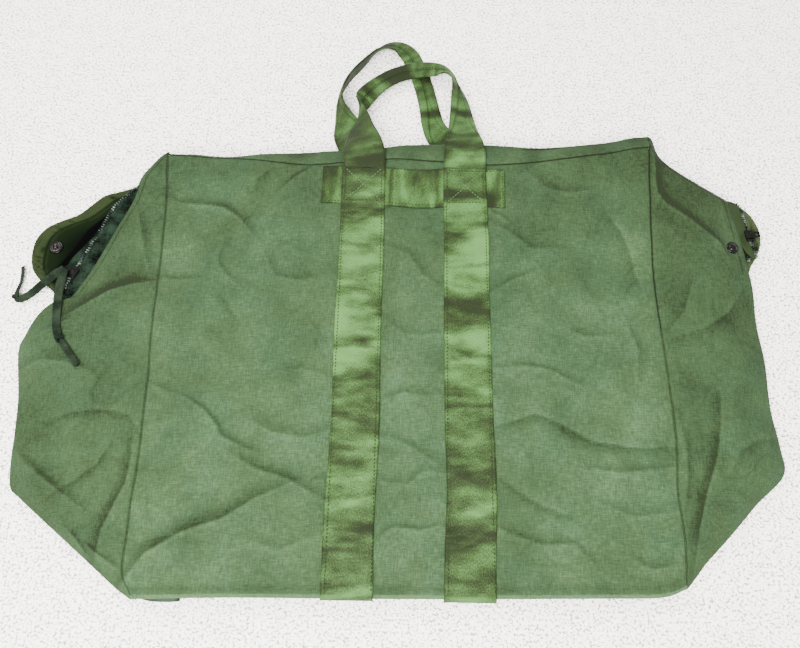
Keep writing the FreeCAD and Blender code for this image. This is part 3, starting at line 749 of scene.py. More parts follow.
def cloth_piece(name, points, outer, inner, painted_light, nodes=(), flip=False, **attributes):
    """A cloth sheet from a grid of points in millimetres, with its thickness inwards."""
    faces = grid_faces(*points.shape[:2])
    if not flip:
        faces = faces[:, ::-1]
    layers = {key: values.ravel() for key, values in {"painted_light": painted_light, **attributes}.items()}
    piece = link_mesh(name, points.reshape(-1, 3) * MM, faces, outer, layers)
    piece.data.materials.append(inner)
    solid = thicken(piece, CLOTH_THICKNESS, -1.0)
    solid.material_offset = 1
    solid.material_offset_rim = 0
    return finished(piece, "bag", "nylon_cloth", *nodes)


def rolled(x, y, z, radius, angles, towards):
    """The grid with its last row carried on down and under, towards -Y (-1) or +Y (1)."""
    turns = np.radians(angles)[:, None]
    nose_x = np.repeat(x[-1:], len(turns), 0)
    nose_y = y[-1:] + towards * radius * np.sin(turns)
    nose_z = z[-1:] - radius * (1 - np.cos(turns))
    return np.stack([np.vstack([x, nose_x]), np.vstack([y, nose_y]), np.vstack([z, nose_z])], -1)


def seam_dip(distance):
    """How far cloth sinks beside a seam, and the painted shade in its groove there."""
    return -1.5 * bell(distance, 1.3), -0.20 * bell(distance, 0.9)


def front_panel():
    u, v = graded(290, SEAM_SPAN), graded(250, SEAM_TO_FOLD)
    plan = coons(TOP_SEAM, BOTTOM_EDGE, LEFT_SEAM, RIGHT_SEAM, u, v)
    x, y = plan[..., 0], plan[..., 1]
    z, shade = front_height(x, y), relief(x, y)[1]
    for distance in (SEAM_SPAN * np.minimum(u, 1 - u)[None, :], SEAM_TO_FOLD * v[:, None]):
        dip, dark = seam_dip(distance)
        z = z + dip
        shade = shade + dark
    # Painted shade lies just above the fold, and a painted highlight on its turned part.
    shade = shade - 0.07 * bell(SEAM_TO_FOLD * (1 - v) - 5, 4)[:, None]
    angles = [15, 32, 50, 70, 92, 115, 140, 165]
    shade = np.vstack([shade, np.full((len(angles), len(u)), 0.14)])
    return cloth_piece("front_panel_cloth", rolled(x, y, z, NOSE, angles, -1), cloth, lining, shade,
                       ["front_panel"])


def top_band_front():
    u, v = graded(200, 575), np.linspace(0, 1, 19)
    plan = coons(TOP_SEAM, TOP_EDGE, [TOP_SEAM[0], TOP_EDGE[0]], [TOP_SEAM[-1], TOP_EDGE[-1]], u, v)
    x, y = plan[..., 0], plan[..., 1]
    v = v[:, None]
    fall = 7.0 + 1.5 * waves(x[:1], y[:1], 90, 31)
    z = front_height(x[:1], y[:1]) - fall * v ** 1.4 + 0.8 * waves(x, y, 40, 33) * np.sin(math.pi * v)
    width = np.hypot(x[-1] - x[0], y[-1] - y[0])[None]
    dip, dark = seam_dip(v * width)
    # Painted shade: the band is darker than the panel and darker towards its edge; its turn and the cloth
    # inside the mouth are darker still.
    shade = dark - 0.065 + 0.045 * waves(x, y, 46, 34) - 0.05 * v
    angles = [25, 55, 90, 125, 160]
    turned = rolled(x, y, z + dip, 2.2, angles, 1)
    # Inside the mouth the cloth runs on downwards.
    drops = np.array([3.0, 6.0, 9.0])[:, None, None]
    inside = turned[-1:] - drops * np.array([0, 0.4, 1.0])
    shade = np.vstack([shade, np.full((len(angles), len(u)), -0.10), np.full((len(drops), len(u)), -0.25)])
    return cloth_piece("top_band_front_cloth", np.vstack([turned, inside]), cloth, lining, shade,
                       ["top_band_front"], flip=True)


# ---- the ends --------------------------------------------------------------------------------

# Outer edges with heights: the front half's mouth edge, then the fold, then the edge to the bottom corner.
LEFT_FRONT_EDGE = [
    (-274, 146, 38), (-281, 144, 37), (-291, 131, 36), (-302, 113, 34.5), (-309, 84, 31.5), (-321, 56, 28),
    (-332, 30, 25), (-344, 2, 21.5), (-354, -16, 19), (-366, -34, 16.5), (-384, -39, 15), (-399, -54, 13),
    (-408, -77, 12), (-412, -98, 11), (-402, -148, 10), (-397, -190, 10), (-395, -218, 9), (-390, -243, 9),
    (-379, -253, 9), (-346, -278, 9), (-303, -310, 10), (-268, -336, 11), (-250, -347, 13),
]
RIGHT_FRONT_EDGE = [
    (299, 179, 44), (303, 173, 41), (309, 158, 36), (325, 143, 32), (357, 124, 26), (383, 108, 23),
    (391, 101, 22), (395, 80, 21), (399, 50, 19), (403, 16, 16), (406, -8, 12), (404, -49, 10),
    (406, -94, 9), (403, -146, 9), (406, -190, 9), (404, -217, 9), (371, -247, 9), (340, -278, 9),
    (311, -305, 10), (299, -318, 11), (288, -329, 13),
]
LEFT_BACK_EDGE = [
    (-274, 140, 5), (-292, 132, 6), (-311, 120, 8), (-324, 113, 9), (-338, 108, 9), (-352, 103, 9),
    (-365, 90, 9), (-379, 76, 9), (-396, 68, 9), (-412, 58, 9), (-421, 44, 9), (-423, 26, 9), (-420, 8, 8),
    (-411, -6, 7), (-394, -20, 6), (-379, -36, 5.5), (-380, -48, 5), (-394, -64, 5), (-404, -82, 4.5),
    (-408, -100, 4), (-401, -148, 4), (-395, -194, 4), (-393, -216, 4),
    (-388, -242, 4), (-378, -251, 4), (-345, -276, 4), (-303, -308, 4), (-252, -344, 4),
]
RIGHT_BACK_EDGE = [
    (299, 158, 6), (315, 149, 8), (335, 137, 9), (358, 124, 9), (382, 112, 9), (399, 111, 9), (412, 101, 9),
    (421, 90, 9), (427, 72, 9), (426, 54, 9), (419, 37, 8), (409, 20, 6), (403, -10, 5), (402, -49, 4),
    (404, -94, 4), (401, -146, 4), (404, -190, 4), (402, -216, 4), (370, -245, 4), (339, -276, 4),
    (310, -303, 4), (286, -326, 4),
]


def end_grid(inner, outer, u):
    """Plan of an end piece, the run between its seam and its outer edge, and the outward direction."""
    uu = u[None, :]
    x = (1 - uu) * inner[:, :1] + uu * outer[:, :1]
    y = (1 - uu) * inner[:, 1:2] + uu * outer[:, 1:2]
    out = outer[:, :2] - inner[:, :2]
    return x, y, np.linalg.norm(out, axis=1)[:, None], unit(out)


def curled(x, y, z, out, radius, angles):
    """The grid with its outer edge turned down and under."""
    turns = np.radians(angles)[None, :]
    reach = 0.7 * radius * np.sin(turns)
    nose_x = x[:, -1:] + out[:, :1] * reach
    nose_y = y[:, -1:] + out[:, 1:2] * reach
    nose_z = z[:, -1:] - radius * (1 - np.cos(turns))
    return np.stack([np.hstack([x, nose_x]), np.hstack([y, nose_y]), np.hstack([z, nose_z])], -1)


def with_turn(values, angles):
    """A value at each grid point, carried on round the turned edge."""
    return np.hstack([values, np.repeat(values[:, -1:], len(angles), 1)])


LEFT_SNAP = (-399, 34)
RIGHT_SNAP = (386, 41)
HEM = 13.0
# Shares of the outer edges that lie at the mouth.
FRONT_MOUTH, BACK_MOUTH = 0.36, 0.42


def front_half(node, side_sign, seam, outer_edge):
    """The upper half of one end piece, from the panel seam to its outer edge."""
    u, v = graded(90, 125), np.linspace(0, 1, 250)
    inner, outer = along_edge(seam, v), along_edge(outer_edge, v)
    x, y, span, out = end_grid(inner, outer, u)
    u, v = u[None, :], v[:, None]
    to_edge = (1 - u) * span
    bulge = 4.0 * np.sin(math.pi * u) * np.clip(span / 130, 0, 1)
    lumps, shade = relief(x, y)
    # The cloth is flat round the domed cap, and its painted shade is fainter there.
    smooth = 1 - bell(np.hypot(x - RIGHT_SNAP[0], y - RIGHT_SNAP[1]), 13, 4)
    lumps, shade = lumps * smooth, shade * (0.4 + 0.6 * smooth)
    seam_z = base_height(inner[:, :1], inner[:, 1:2])
    z = (1 - u) * seam_z + u * outer[:, 2:3] + bulge + lumps * (1 - 0.9 * bell(to_edge, 9))
    dip, dark = seam_dip(u * span)
    hem_line = (v < FRONT_MOUTH) * bell(to_edge - 8.5, 0.9)
    z = z + dip - 1.8 * np.exp(-to_edge / 3.0) - 0.5 * hem_line
    # Painted shade: a dark line along the hem, partly its stitching and partly shade in its groove, and the
    # whole end a little darker.
    shade = shade + dark - 0.14 * hem_line - 0.03
    angles = [40, 80, 120, 160]
    return cloth_piece(node + "_front_half", curled(x, y, z, out, 2.0, angles), cloth, lining,
                       with_turn(shade, angles), [node], flip=side_sign < 0)


# The back half's cloth is folded along a line inside the left mouth, with a band of painted shade along it.
MOUTH_FOLD = [(-296, 112), (-314, 99), (-345, 74), (-362, 56), (-376, 28), (-392, 2), (-412, -24)]


def back_half(node, side_sign, seam_x, outer_edge, hem_depth, fade, snap):
    """The lower half of one end piece, which sticks out beyond the front half at the mouth.

    The "depth" attribute is painted shade: hem_depth on the hem, growing inwards over the distance of fade.
    """
    u, v = graded(80, 140), np.linspace(0, 1, 260)
    outer = along_edge(outer_edge, v)
    inner = np.stack([seam_x + 0 * v, outer[0, 1] + (outer[-1, 1] - outer[0, 1]) * v], 1)
    x, y, span, out = end_grid(inner, outer, u)
    u, v = u[None, :], v[:, None]
    to_edge = (1 - u) * span
    at_mouth = rise(BACK_MOUTH - v, 0.02)
    rim = (outer[:, 2:3] - RIM_BASE) * bell(to_edge, 17)
    dish = -1.0 * bell(to_edge - 30, 14) * at_mouth
    gather = np.sin(360 * v + 6 * waves(x, y, 45, 41)) * np.clip(0.6 + 0.6 * waves(x, y, 25, 43), 0, 1)
    pucker = gather * bell(to_edge - 0.6 * HEM, 0.5 * HEM) * at_mouth
    fold_distance = distance_to(MOUTH_FOLD, x, y)[0]
    hem_line = bell(to_edge - HEM, 1.1) * at_mouth
    z = BACK_LEVEL + rim + dish + 0.8 * pucker + 0.5 * waves(x, y, 60, 42) * np.clip(to_edge / 10, 0, 1)
    z = z + 1.6 * bell(fold_distance, 5) * np.clip(to_edge / HEM - 1, 0, 1)
    near_snap = bell(np.hypot(x - snap[0], y - snap[1]), 11, 4)
    z = np.maximum(z, 2.4) * (1 - near_snap) + 5.0 * near_snap - 0.5 * hem_line
    # Painted shade: darker into the mouth, in the hollows of the puckers, along the hem's stitching and in a
    # band along the inner fold.
    depth = hem_depth + 0.06 * (to_edge > HEM) + 0.7 * np.clip((to_edge - HEM) / fade, 0, 1)
    depth = depth + 0.16 * np.maximum(-pucker, 0) ** 2 + 0.12 * hem_line
    depth = np.maximum(depth, 0.85 * bell(fold_distance, 6.5, 4) * (to_edge > HEM))
    angles = [45, 90, 135, 170]
    depth = with_turn(depth, angles)
    return cloth_piece(node + "_back_half", curled(x, y, z, out, 1.4, angles), mouth_cloth, cloth,
                       0 * depth, flip=side_sign < 0, depth=depth)


def build_ends():
    front_halves = (front_half("gusset_left", -1, [TOP_EDGE[0]] + LEFT_SEAM, LEFT_FRONT_EDGE),
                    front_half("gusset_right", 1, [TOP_EDGE[-1]] + RIGHT_SEAM, RIGHT_FRONT_EDGE))
    back_halves = (
        back_half("gusset_left", -1, seam_x=-258.0, outer_edge=LEFT_BACK_EDGE, hem_depth=0.12, fade=60,
                  snap=LEFT_SNAP),
        back_half("gusset_right", 1, seam_x=282.0, outer_edge=RIGHT_BACK_EDGE, hem_depth=0.04, fade=90,
                  snap=RIGHT_SNAP))
    return front_halves, back_halves


# ---- hidden and lower cloth ------------------------------------------------------------------

BACK_SEAM = [(-274, 140), (0, 150), (299, 158)]


def back_panel():
    u = np.linspace(0, 1, 90)
    left = [(-274, 140), (-262, -40), (-252, -342)]
    right = [(299, 158), (288, -40), (284, -327)]
    # A fold of the back cloth shows below the front's left corner.
    bottom = [(-252, -342), (-236, -349), (-205, -349), (-190, -342), (0, -341), (284, -327)]
    plan = coons(BACK_SEAM, bottom, left, right, u, u)
    z = BACK_LEVEL + 0.5 * waves(plan[..., 0], plan[..., 1], 80, 51)
    return cloth_piece("back_panel_cloth", np.dstack([plan, z]), lining, cloth, 0 * z, ["back_panel"])


def top_band_back():
    u = np.linspace(0, 1, 120)
    v = np.linspace(0, 1, 9)
    edge = [(-272, 149), (-150, 148), (0, 158), (150, 166), (296, 178)]
    plan = coons(BACK_SEAM, edge, [BACK_SEAM[0], edge[0]], [BACK_SEAM[-1], edge[-1]], u, v)
    z = BACK_LEVEL + 0.4 * waves(plan[..., 0], plan[..., 1], 60, 52) + 2.5 * v[:, None]
    return cloth_piece("top_band_back_cloth", np.dstack([plan, z]), lining, cloth, 0 * z, ["top_band_back"],
                       flip=True)


def bottom_panel():
    """The bottom, folded up inside: its two halves meet at a crease."""
    low, high = box_mm("bottom_panel")
    start_y, fold_y = BOTTOM_Y + 11, high[1] + 3
    profile = smooth_line([(start_y, 9.5), (start_y + 19, 12.5), (fold_y - 10, 13.5), (fold_y, 10.5),
                           (fold_y - 10, 8.0), (start_y + 19, 6.5), (start_y, 5.2)], 60)
    # It stops short of the corners, so that it stays behind the front.
    x, y = np.meshgrid(np.linspace(low[0] + 12, high[0] - 18, 90), profile[:, 0])
    z = profile[:, 1:] + 0.3 * waves(x, y, 50, 53)
    return cloth_piece("bottom_panel_cloth", np.dstack([x, y, z]), cloth, lining, 0 * z - 0.03,
                       ["bottom_panel"])


# ---- webbing ---------------------------------------------------------------------------------

WEB_THICKNESS = 1.5
# Shares across the width, closer together near the middle, where folded edges meet.
SECTION = np.r_[np.linspace(-1, -0.1, 15), -0.05, 0, 0.05, np.linspace(0.1, 1, 15)]


def flat_section(ones):
    """Top and bottom heights of plain webbing across its width, one row for each station."""
    edge = np.sqrt(np.clip(1 - np.abs(SECTION) ** 12, 0.04, 1))[None] * ones[:, None]
    return edge * WEB_THICKNESS / 2, -edge * WEB_THICKNESS / 2


def folded_section(opening):
    """Webbing with both edges folded in: they meet in the middle at 0 and lie flat at 1."""
    across = np.abs(SECTION)[None]
    edge = np.sqrt(np.clip(1 - across ** 14, 0.04, 1))
    step = rise(across - opening[:, None] - 0.035, 0.015)
    folded = np.maximum(1 - opening[:, None], 0.05)
    puff = 0.5 * np.sin(math.pi * np.clip((across - opening[:, None]) / folded, 0, 1))
    under = -edge * WEB_THICKNESS * np.ones((len(opening), 1))
    return edge * (WEB_THICKNESS * (step - 0.2) + step * puff), under


def closed_strip(name, middle, across, up, half_width, section, body, *nodes, tone=0.0):
    """A strip of webbing along a run of stations, all arrays in millimetres."""
    a = np.r_[SECTION, SECTION[::-1]]
    height = np.hstack([section[0], section[1][:, ::-1]])
    rings = (middle[:, None] + across[:, None] * (a[None, :, None] * half_width[:, None, None])
             + up[:, None] * height[..., None])
    under = np.repeat([0, 1], len(SECTION))
    uv = np.stack([(a[None] * half_width[:, None] + 60 * under[None]) * MM,
                   np.repeat(distances(middle)[:, None] * MM, len(a), 1)], -1)
    # Painted shade darkens the strip's edges.
    painted_light = np.tile(tone - 0.07 * (np.abs(a) > 0.93), len(middle))
    piece = swept(name, rings, webbing, {"painted_light": painted_light}, uv.reshape(-1, 2))
    return finished(piece, body, "webbing", *nodes)


STRAP_LIFT = 1.1
STRAP_START_Y = 131
STRAP_TURN_Y = BOTTOM_Y + 6     # where it goes round the bottom fold
UNDER_Z = 1.0
# Painted sheen and shade: how much lighter (positive) or darker (negative) each strap is at places along it.
TONE_PLACES = (-330, -250, -172, -94, -16, 61, 84, 86)
STRAP_TONES = {
    "strap_left": (-0.12, 0.10, -0.09, 0.23, 0.18, 0.12, 0.06, -0.04),
    "strap_right": (-0.10, -0.07, -0.09, 0.16, 0.17, 0.14, 0.06, -0.06),
}
PATCH_EDGE_Y = 80
PATCH_LIFT = 1.3


def strap_top(x, y):
    """Middle of a strap's thickness: over the cloth, and over the patch at its top."""
    lift = STRAP_LIFT + PATCH_LIFT * rise(y - PATCH_EDGE_Y, 1.2)
    return front_height(x, y) + lift + 0.45 * waves(x, y * 1.4, 36, 61) + 0.15 * waves(x, y, 16, 62)


def webbing_sheet(name, points, painted_light, uv, node):
    """Sewn-down webbing from a grid of points in millimetres."""
    piece = link_mesh(name, points.reshape(-1, 3) * MM, grid_faces(*points.shape[:2])[:, ::-1], webbing,
                      {"painted_light": painted_light.ravel()}, uv.reshape(-1, 2))
    thicken(piece, WEB_THICKNESS)
    return finished(piece, "bag", "webbing", node)


def strap(node):
    """Sewn webbing that follows the front, goes round the bottom fold and runs back underneath."""
    low, high = box_mm(node)
    middle_x, half = (low[0] + high[0]) / 2, (high[0] - low[0]) / 2 + 0.6
    a = np.linspace(-1, 1, 27)
    y = np.linspace(STRAP_START_Y, STRAP_TURN_Y, 300)
    wobble = 0.8 * waves(y, 0 * y, 160, int(abs(middle_x)))
    x = middle_x + wobble[:, None] + half * a[None]
    yy = np.repeat(y[:, None], len(a), 1)
    z = strap_top(x, yy) - 0.5 * np.abs(a[None]) ** 6
    angles = np.linspace(12, 180, 14)
    # Painted sheen and shade along the strap.
    tone_shift = np.interp(yy, TONE_PLACES, STRAP_TONES[node])
    shade = np.vstack([0.9 * relief(x, yy)[1] + tone_shift, np.zeros((len(angles), len(a)))])
    # Painted shade darkens the edges, and the line where each row of stitches presses in.
    shade = shade - 0.12 * (np.abs(a) > 0.95) - 0.05 * (np.abs(np.abs(a) - 0.86) < 0.04)
    run = np.r_[y, y[-1] - 2 * np.arange(1, len(angles) + 1)] + 3 * middle_x
    uv = np.stack(np.meshgrid(a * half * MM, run * MM), -1)
    piece = webbing_sheet(node + "_webbing", rolled(x, yy, z, NOSE + 1.0, angles, -1), shade, uv, node)
    under = np.linspace([middle_x, STRAP_TURN_Y, UNDER_Z], [middle_x, high[1], UNDER_Z], 60)
    ones = np.ones(len(under))
    closed_strip(node + "_under", under, np.outer(ones, [1.0, 0, 0]), np.outer(ones, UP), ones * half,
                 flat_section(ones), "bag")
    return piece


def patch(node, z_of):
    low, high = box_mm(node)
    x, y = np.meshgrid(np.linspace(low[0], high[0], 110), np.linspace(high[1] - 1, low[1] - 1, 26))
    y += 0.9 * waves(x, 0 * x, 130, 71)
    inset = np.minimum(np.minimum(x - low[0], high[0] - x), np.minimum(y - y.min(), y.max() - y))
    # Painted shade darkens the patch along its edges.
    shade = 0.05 + 0.06 * waves(x, y, 40, 73) - 0.22 * bell(inset, 1.8)
    # Its webbing runs sideways.
    uv = np.stack([(y - y.min()) * MM, (x - x.min()) * MM], -1)
    return webbing_sheet(node + "_webbing", np.dstack([x, y, z_of(x, y)]), shade, uv, node)


BACK_PATCH_Z = 2.6


def patch_height(x, y):
    return front_height(x, y) + 0.9 + 0.35 * waves(x, y, 26, 72)


# Handle stations: x, y, z of the middle, how far the folded edges lie open, turn in degrees.
# At a turn of 0 the plain side looks up, and at 180 the side where the edges meet.
HANDLE_FRONT = [
    (-40.5, 129, 40, 1, 0), (-40.5, 142, 40.5, 1, 0), (-42, 157, 40.5, 0.97, 2), (-45, 172, 38, 0.85, 10),
    (-47.5, 188, 33, 0.6, 26), (-48.5, 204, 28, 0.4, 46), (-49.5, 218, 24, 0.2, 68), (-50, 231, 20, 0.05, 96),
    (-48, 244, 17, 0, 132), (-41, 259, 14, 0, 164), (-28, 275, 12, 0, 178), (-12, 288, 11, 0, 180),
    (4, 295.5, 11, 0, 180), (20, 300, 11, 0, 180), (36, 301.5, 11.5, 0, 182), (51, 299.5, 13, 0, 196),
    (62, 292, 15, 0, 226), (69, 279, 18, 0.02, 244), (73, 263, 20, 0.1, 232), (75, 245, 22, 0.2, 212),
    (76, 226, 24, 0.32, 198), (76.5, 206, 28, 0.48, 188), (77, 188, 33, 0.68, 183),
    (77.5, 172, 38, 0.88, 180), (78, 157, 40.5, 0.98, 180), (78, 142, 40.5, 1, 180), (78, 129, 40, 1, 180),
]
HANDLE_BACK = [
    (-41, 177, 1.7, 1, 180), (-48, 184, 2.0, 1, 182), (-57, 193, 5, 0.95, 188), (-65, 204, 9.5, 0.8, 202),
    (-71, 218, 12.7, 0.52, 224), (-76, 235, 13.6, 0.25, 244), (-77, 252, 14, 0.06, 254),
    (-72, 271, 14, 0, 258), (-62, 290, 14, 0, 258), (-48, 309, 13.5, 0, 256), (-33, 329, 12, 0, 240),
    (-18, 340, 9, 0, 212), (-2, 342, 5, 0, 190),
    (11, 331, 3.4, 0, 180), (20, 311, 3.2, 0, 180), (27, 290, 3.2, 0, 180), (33, 266, 3.2, 0, 180),
    (37.5, 243, 3.2, 0.08, 180), (42, 220, 3.0, 0.3, 180), (50, 203, 2.6, 0.6, 180), (64, 192, 2.0, 0.9, 180),
    (78, 183, 1.7, 1, 180),
]
WEB_WIDTH = 49.0
# Painted shade: the handles' webbing is drawn darker than the straps'.
HANDLE_SHADE = -0.07
HANDLE_ROOT_Y = 145     # below this a handle is sewn down


def handle_run(stations, count):
    """Middle line, sideways and upward directions, half width and edge opening at even steps."""
    run = smooth_line(stations, count)
    middle, turn = run[:, :3], run[:, 4]
    opening = np.clip(run[:, 3], 0, 1)
    along, across = directions(middle)
    # Both roots are sewn square across the bag.
    root = np.exp(-np.minimum(np.arange(count), np.arange(count)[::-1]) / (count * 0.02))[:, None]
    square = np.sign(across[:, :1]) * np.array([1.0, 0, 0])
    across = unit(across * (1 - root) + square * root)
    turned = turn_about(across, unit(np.cross(across, along)), turn + 180)
    return middle, *turned, WEB_WIDTH / (2 - opening) / 2, opening


def on_straps(stations):
    """The stations with their roots level with the straps that they continue."""
    level = []
    for x, y, z, opening, turn in stations:
        if y < HANDLE_ROOT_Y:
            z = strap_top(np.array(float(x)), np.array(float(y))) + 0.2
        level.append((x, y, z, opening, turn))
    return level


def handle(node, stations):
    """A hand loop whose webbing is folded lengthwise into a grip, and flat at its roots."""
    middle, across, up, half, opening = handle_run(stations, 260)
    closed_strip(node + "_webbing", middle, across, up, half, folded_section(opening), node, node,
                 tone=HANDLE_SHADE)
    # A row of stitches holds each folded edge between the roots.
    free = slice(20, -20)
    place = (np.clip(opening + 0.12, 0, 0.95) * half)[:, None]
    rows = [(middle + across * side * place + up * (WEB_THICKNESS + 0.25))[free] for side in (-1, 1)]
    stitch_mesh(node + "_stitches", rows, node, thread, up_rows=[up[free]] * 2)


# ---- stitching -------------------------------------------------------------------------------

STITCH_PITCH = 3.9
STITCH_LENGTH = 2.6
STITCH_RADIUS = 0.5
STITCH_SIDES = 6
# Rings of a stitch: place along it, radius and how far it sinks, as shares.
STITCH_RINGS = ((-0.5, 0.4, 0.8), (-0.28, 1, 0), (0.28, 1, 0), (0.5, 0.4, 0.8))


def stitch_mesh(name, runs, body, material, up_rows=None):
    """Rows of thread stitches; each run is an array of points in millimetres on the surface."""
    verts, faces = [], []
    cos, sin = circle(STITCH_SIDES)
    places, radii, sinks = np.array(STITCH_RINGS).T
    ring_faces = grid_faces(len(STITCH_RINGS), STITCH_SIDES, closed=True)
    first_ring = np.arange(STITCH_SIDES)
    last_ring = first_ring + (len(STITCH_RINGS) - 1) * STITCH_SIDES
    for number, run in enumerate(runs):
        ups = np.tile(UP, (len(run), 1)) if up_rows is None else up_rows[number]
        steps = distances(run)
        for centre in np.arange(STITCH_PITCH / 2, steps[-1] - STITCH_LENGTH / 2, STITCH_PITCH):
            line = sample(run, centre + places * STITCH_LENGTH, steps)
            along = line[-1] - line[0]
            side = unit(np.cross(along, sample(ups, centre, steps)))
            top = unit(np.cross(side, along))
            spokes = np.outer(cos, side) + np.outer(sin, top)
            first = len(verts)
            for point, radius, sink in zip(line, radii, sinks):
                verts += list(point + STITCH_RADIUS * (radius * spokes - sink * top))
            faces += [list(first + face) for face in (*ring_faces, first_ring[::-1], last_ring)]
    return finished(link_mesh(name, np.array(verts) * MM, faces, material), body, "webbing")


class Cover:
    """Heights of finished pieces, found by looking straight down on them."""

    def __init__(self, *pieces):
        graph = bpy.context.evaluated_depsgraph_get()
        verts, faces = [], []
        for piece in pieces:
            mesh = piece.evaluated_get(graph).to_mesh()
            first = len(verts)
            verts += [piece.matrix_world @ v.co for v in mesh.vertices]
            faces += [[first + i for i in face.vertices] for face in mesh.polygons]
        self.tree = BVHTree.FromPolygons(verts, faces)

    def look(self, x, y):
        place, normal, _, _ = self.tree.ray_cast(Vector((x * MM, y * MM, 0.3)), Vector((0, 0, -1)))
        return (None, None) if place is None else (np.array(place) / MM, np.array(normal))

    def line(self, points, lift, spacing=2.0):
        """A line over the pieces through the given plan points."""
        flat = np.asarray(points, float)
        length = distances(flat)[-1]
        found = []
        for x, y in sample(flat, np.linspace(0, length, max(int(length / spacing), 2))):
            place, _ = self.look(x, y)
            if place is not None:
                found.append((x, y, place[2] + lift))
        return np.array(found)


EDGE_INSET = 2.2        # of the rows along a strap
BOX_INSET = 3.5         # of a handle's crossed box from the strap's edges
BOX_LOW, BOX_HIGH = 86, 127
THREAD_LIFT = 0.1
CROSS_LIFT = 0.3


def build_stitching(strap_cover, patch_cover):
    dark, light = [], []
    for node in ("strap_left", "strap_right"):
        low, high = (corner[0] for corner in box_mm(node))
        for x in (low + EDGE_INSET, high - EDGE_INSET):
            dark.append(strap_cover.line([(x, 82), (x, BOTTOM_Y + 8)], THREAD_LIFT))
        # A crossed box holds the handle's root to the patch.
        left, right = low + BOX_INSET, high - BOX_INSET
        for line in ([(left, BOX_LOW), (right, BOX_LOW)], [(left, BOX_HIGH), (right, BOX_HIGH)],
                     [(left, BOX_LOW), (left, BOX_HIGH)], [(right, BOX_LOW), (right, BOX_HIGH)]):
            dark.append(strap_cover.line(line, THREAD_LIFT))
        for line in ([(left, BOX_LOW), (right, BOX_HIGH)], [(left, BOX_HIGH), (right, BOX_LOW)]):
            light.append(strap_cover.line(line, CROSS_LIFT))
    low, high = box_mm("handle_patch_front")
    x0, x1, y0, y1 = low[0] + 2.5, high[0] - 2.5, low[1] + 2.0, high[1] - 3.0
    corners = [(x0, y0), (x1, y0), (x1, y1), (x0, y1), (x0, y0)]
    for line in zip(corners, corners[1:]):
        dark.append(patch_cover.line(line, THREAD_LIFT))
    stitch_mesh("stitches_dark", dark, "bag", thread)
    stitch_mesh("stitches_light", light, "bag", pale_thread)


# ---- zip rows --------------------------------------------------------------------------------


def tube(name, line, radius, material, slot):
    """A thin round cord along points in millimetres."""
    along, side = directions(line)
    top = np.cross(side, along)
    cos, sin = circle(8)
    ring = side[:, None] * cos[None, :, None] + top[:, None] * sin[None, :, None]
    return finished(swept(name, line[:, None] + radius * ring, material), "bag", slot)


TOOTH_WIDTH, TOOTH_REACH, TOOTH_DEPTH = 1.7, 3.4, 2.6     # along the row, outward, thick
TOOTH_PITCH = 2.9
TOOTH_TILT = 0.25       # radians, at most
# Rings of a tooth from root to tip: how far out, and how wide and thick, as shares.
TOOTH_RINGS = ((-0.5, 0.8), (0.15, 1.0), (0.5, 0.6))
TOOTH_CORNERS = ((-0.5, -0.5), (0.5, -0.5), (0.5, 0.5), (-0.5, 0.5))
TAPE_THICKNESS = 0.8
FADE_START, FADE_LENGTH = 300, 40       # the tape turns olive at the right end
tooth_draws = np.random.default_rng(7)


def zip_side(name, inner, outer, seed):
    """One side of the zip: tape from under the cloth's hem to its row of teeth."""
    rows, columns = 420, 9
    inside, outside = smooth_line(inner, rows), smooth_line(outer, rows)
    u = np.linspace(0, 1, columns)[None, :, None]
    points = inside[:, None] * (1 - u) + outside[:, None] * u
    width = np.linalg.norm(outside - inside, axis=1)[:, None]
    ripple = np.sin(math.pi * u[..., 0]) * np.clip(width / 12, 0.2, 1)
    points[..., 2] += ripple * 1.3 * waves(points[..., 0], points[..., 1], 34, seed)
    fade = np.clip((points[..., 0].ravel() - FADE_START) / FADE_LENGTH, 0, 1)
    tape = link_mesh("zip_tape_" + name + "_cloth", points.reshape(-1, 3) * MM, grid_faces(rows, columns),
                     zip_cloth, {"fade": fade})
    thicken(tape, TAPE_THICKNESS)
    finished(tape, "bag", "zip_tape", "zip_tape_" + name)
    steps = distances(outside)
    side_faces = grid_faces(len(TOOTH_RINGS), len(TOOTH_CORNERS), closed=True)
    end_faces = np.array([[3, 2, 1, 0], [8, 9, 10, 11]])
    verts, faces = [], []
    for at in np.arange(1.5, steps[-1], TOOTH_PITCH):
        behind, centre, ahead = sample(outside, at + np.array([-1, 0, 1]), steps)
        along = unit(ahead - behind)
        outward = centre - sample(inside, at, steps)
        outward = unit(outward - along * (outward @ along))
        thick = np.cross(along, outward)
        tilt = tooth_draws.uniform(-TOOTH_TILT, TOOTH_TILT)
        outward, thick = (outward * math.cos(tilt) + thick * math.sin(tilt),
                          thick * math.cos(tilt) - outward * math.sin(tilt))
        faces += [list(len(verts) + face) for face in (*side_faces, *end_faces)]
        verts += [centre + outward * TOOTH_REACH * reach
                  + swell * (along * TOOTH_WIDTH * a + thick * TOOTH_DEPTH * t)
                  for reach, swell in TOOTH_RINGS for a, t in TOOTH_CORNERS]
    teeth = link_mesh("zip_teeth_" + name + "_row", np.array(verts) * MM, faces, tooth_metal)
    teeth.data.polygons.foreach_set("use_smooth", [False] * len(teeth.data.polygons))
    outward_normals(teeth)
    finished(teeth, "bag", "zip_teeth", "zip_teeth_" + name)


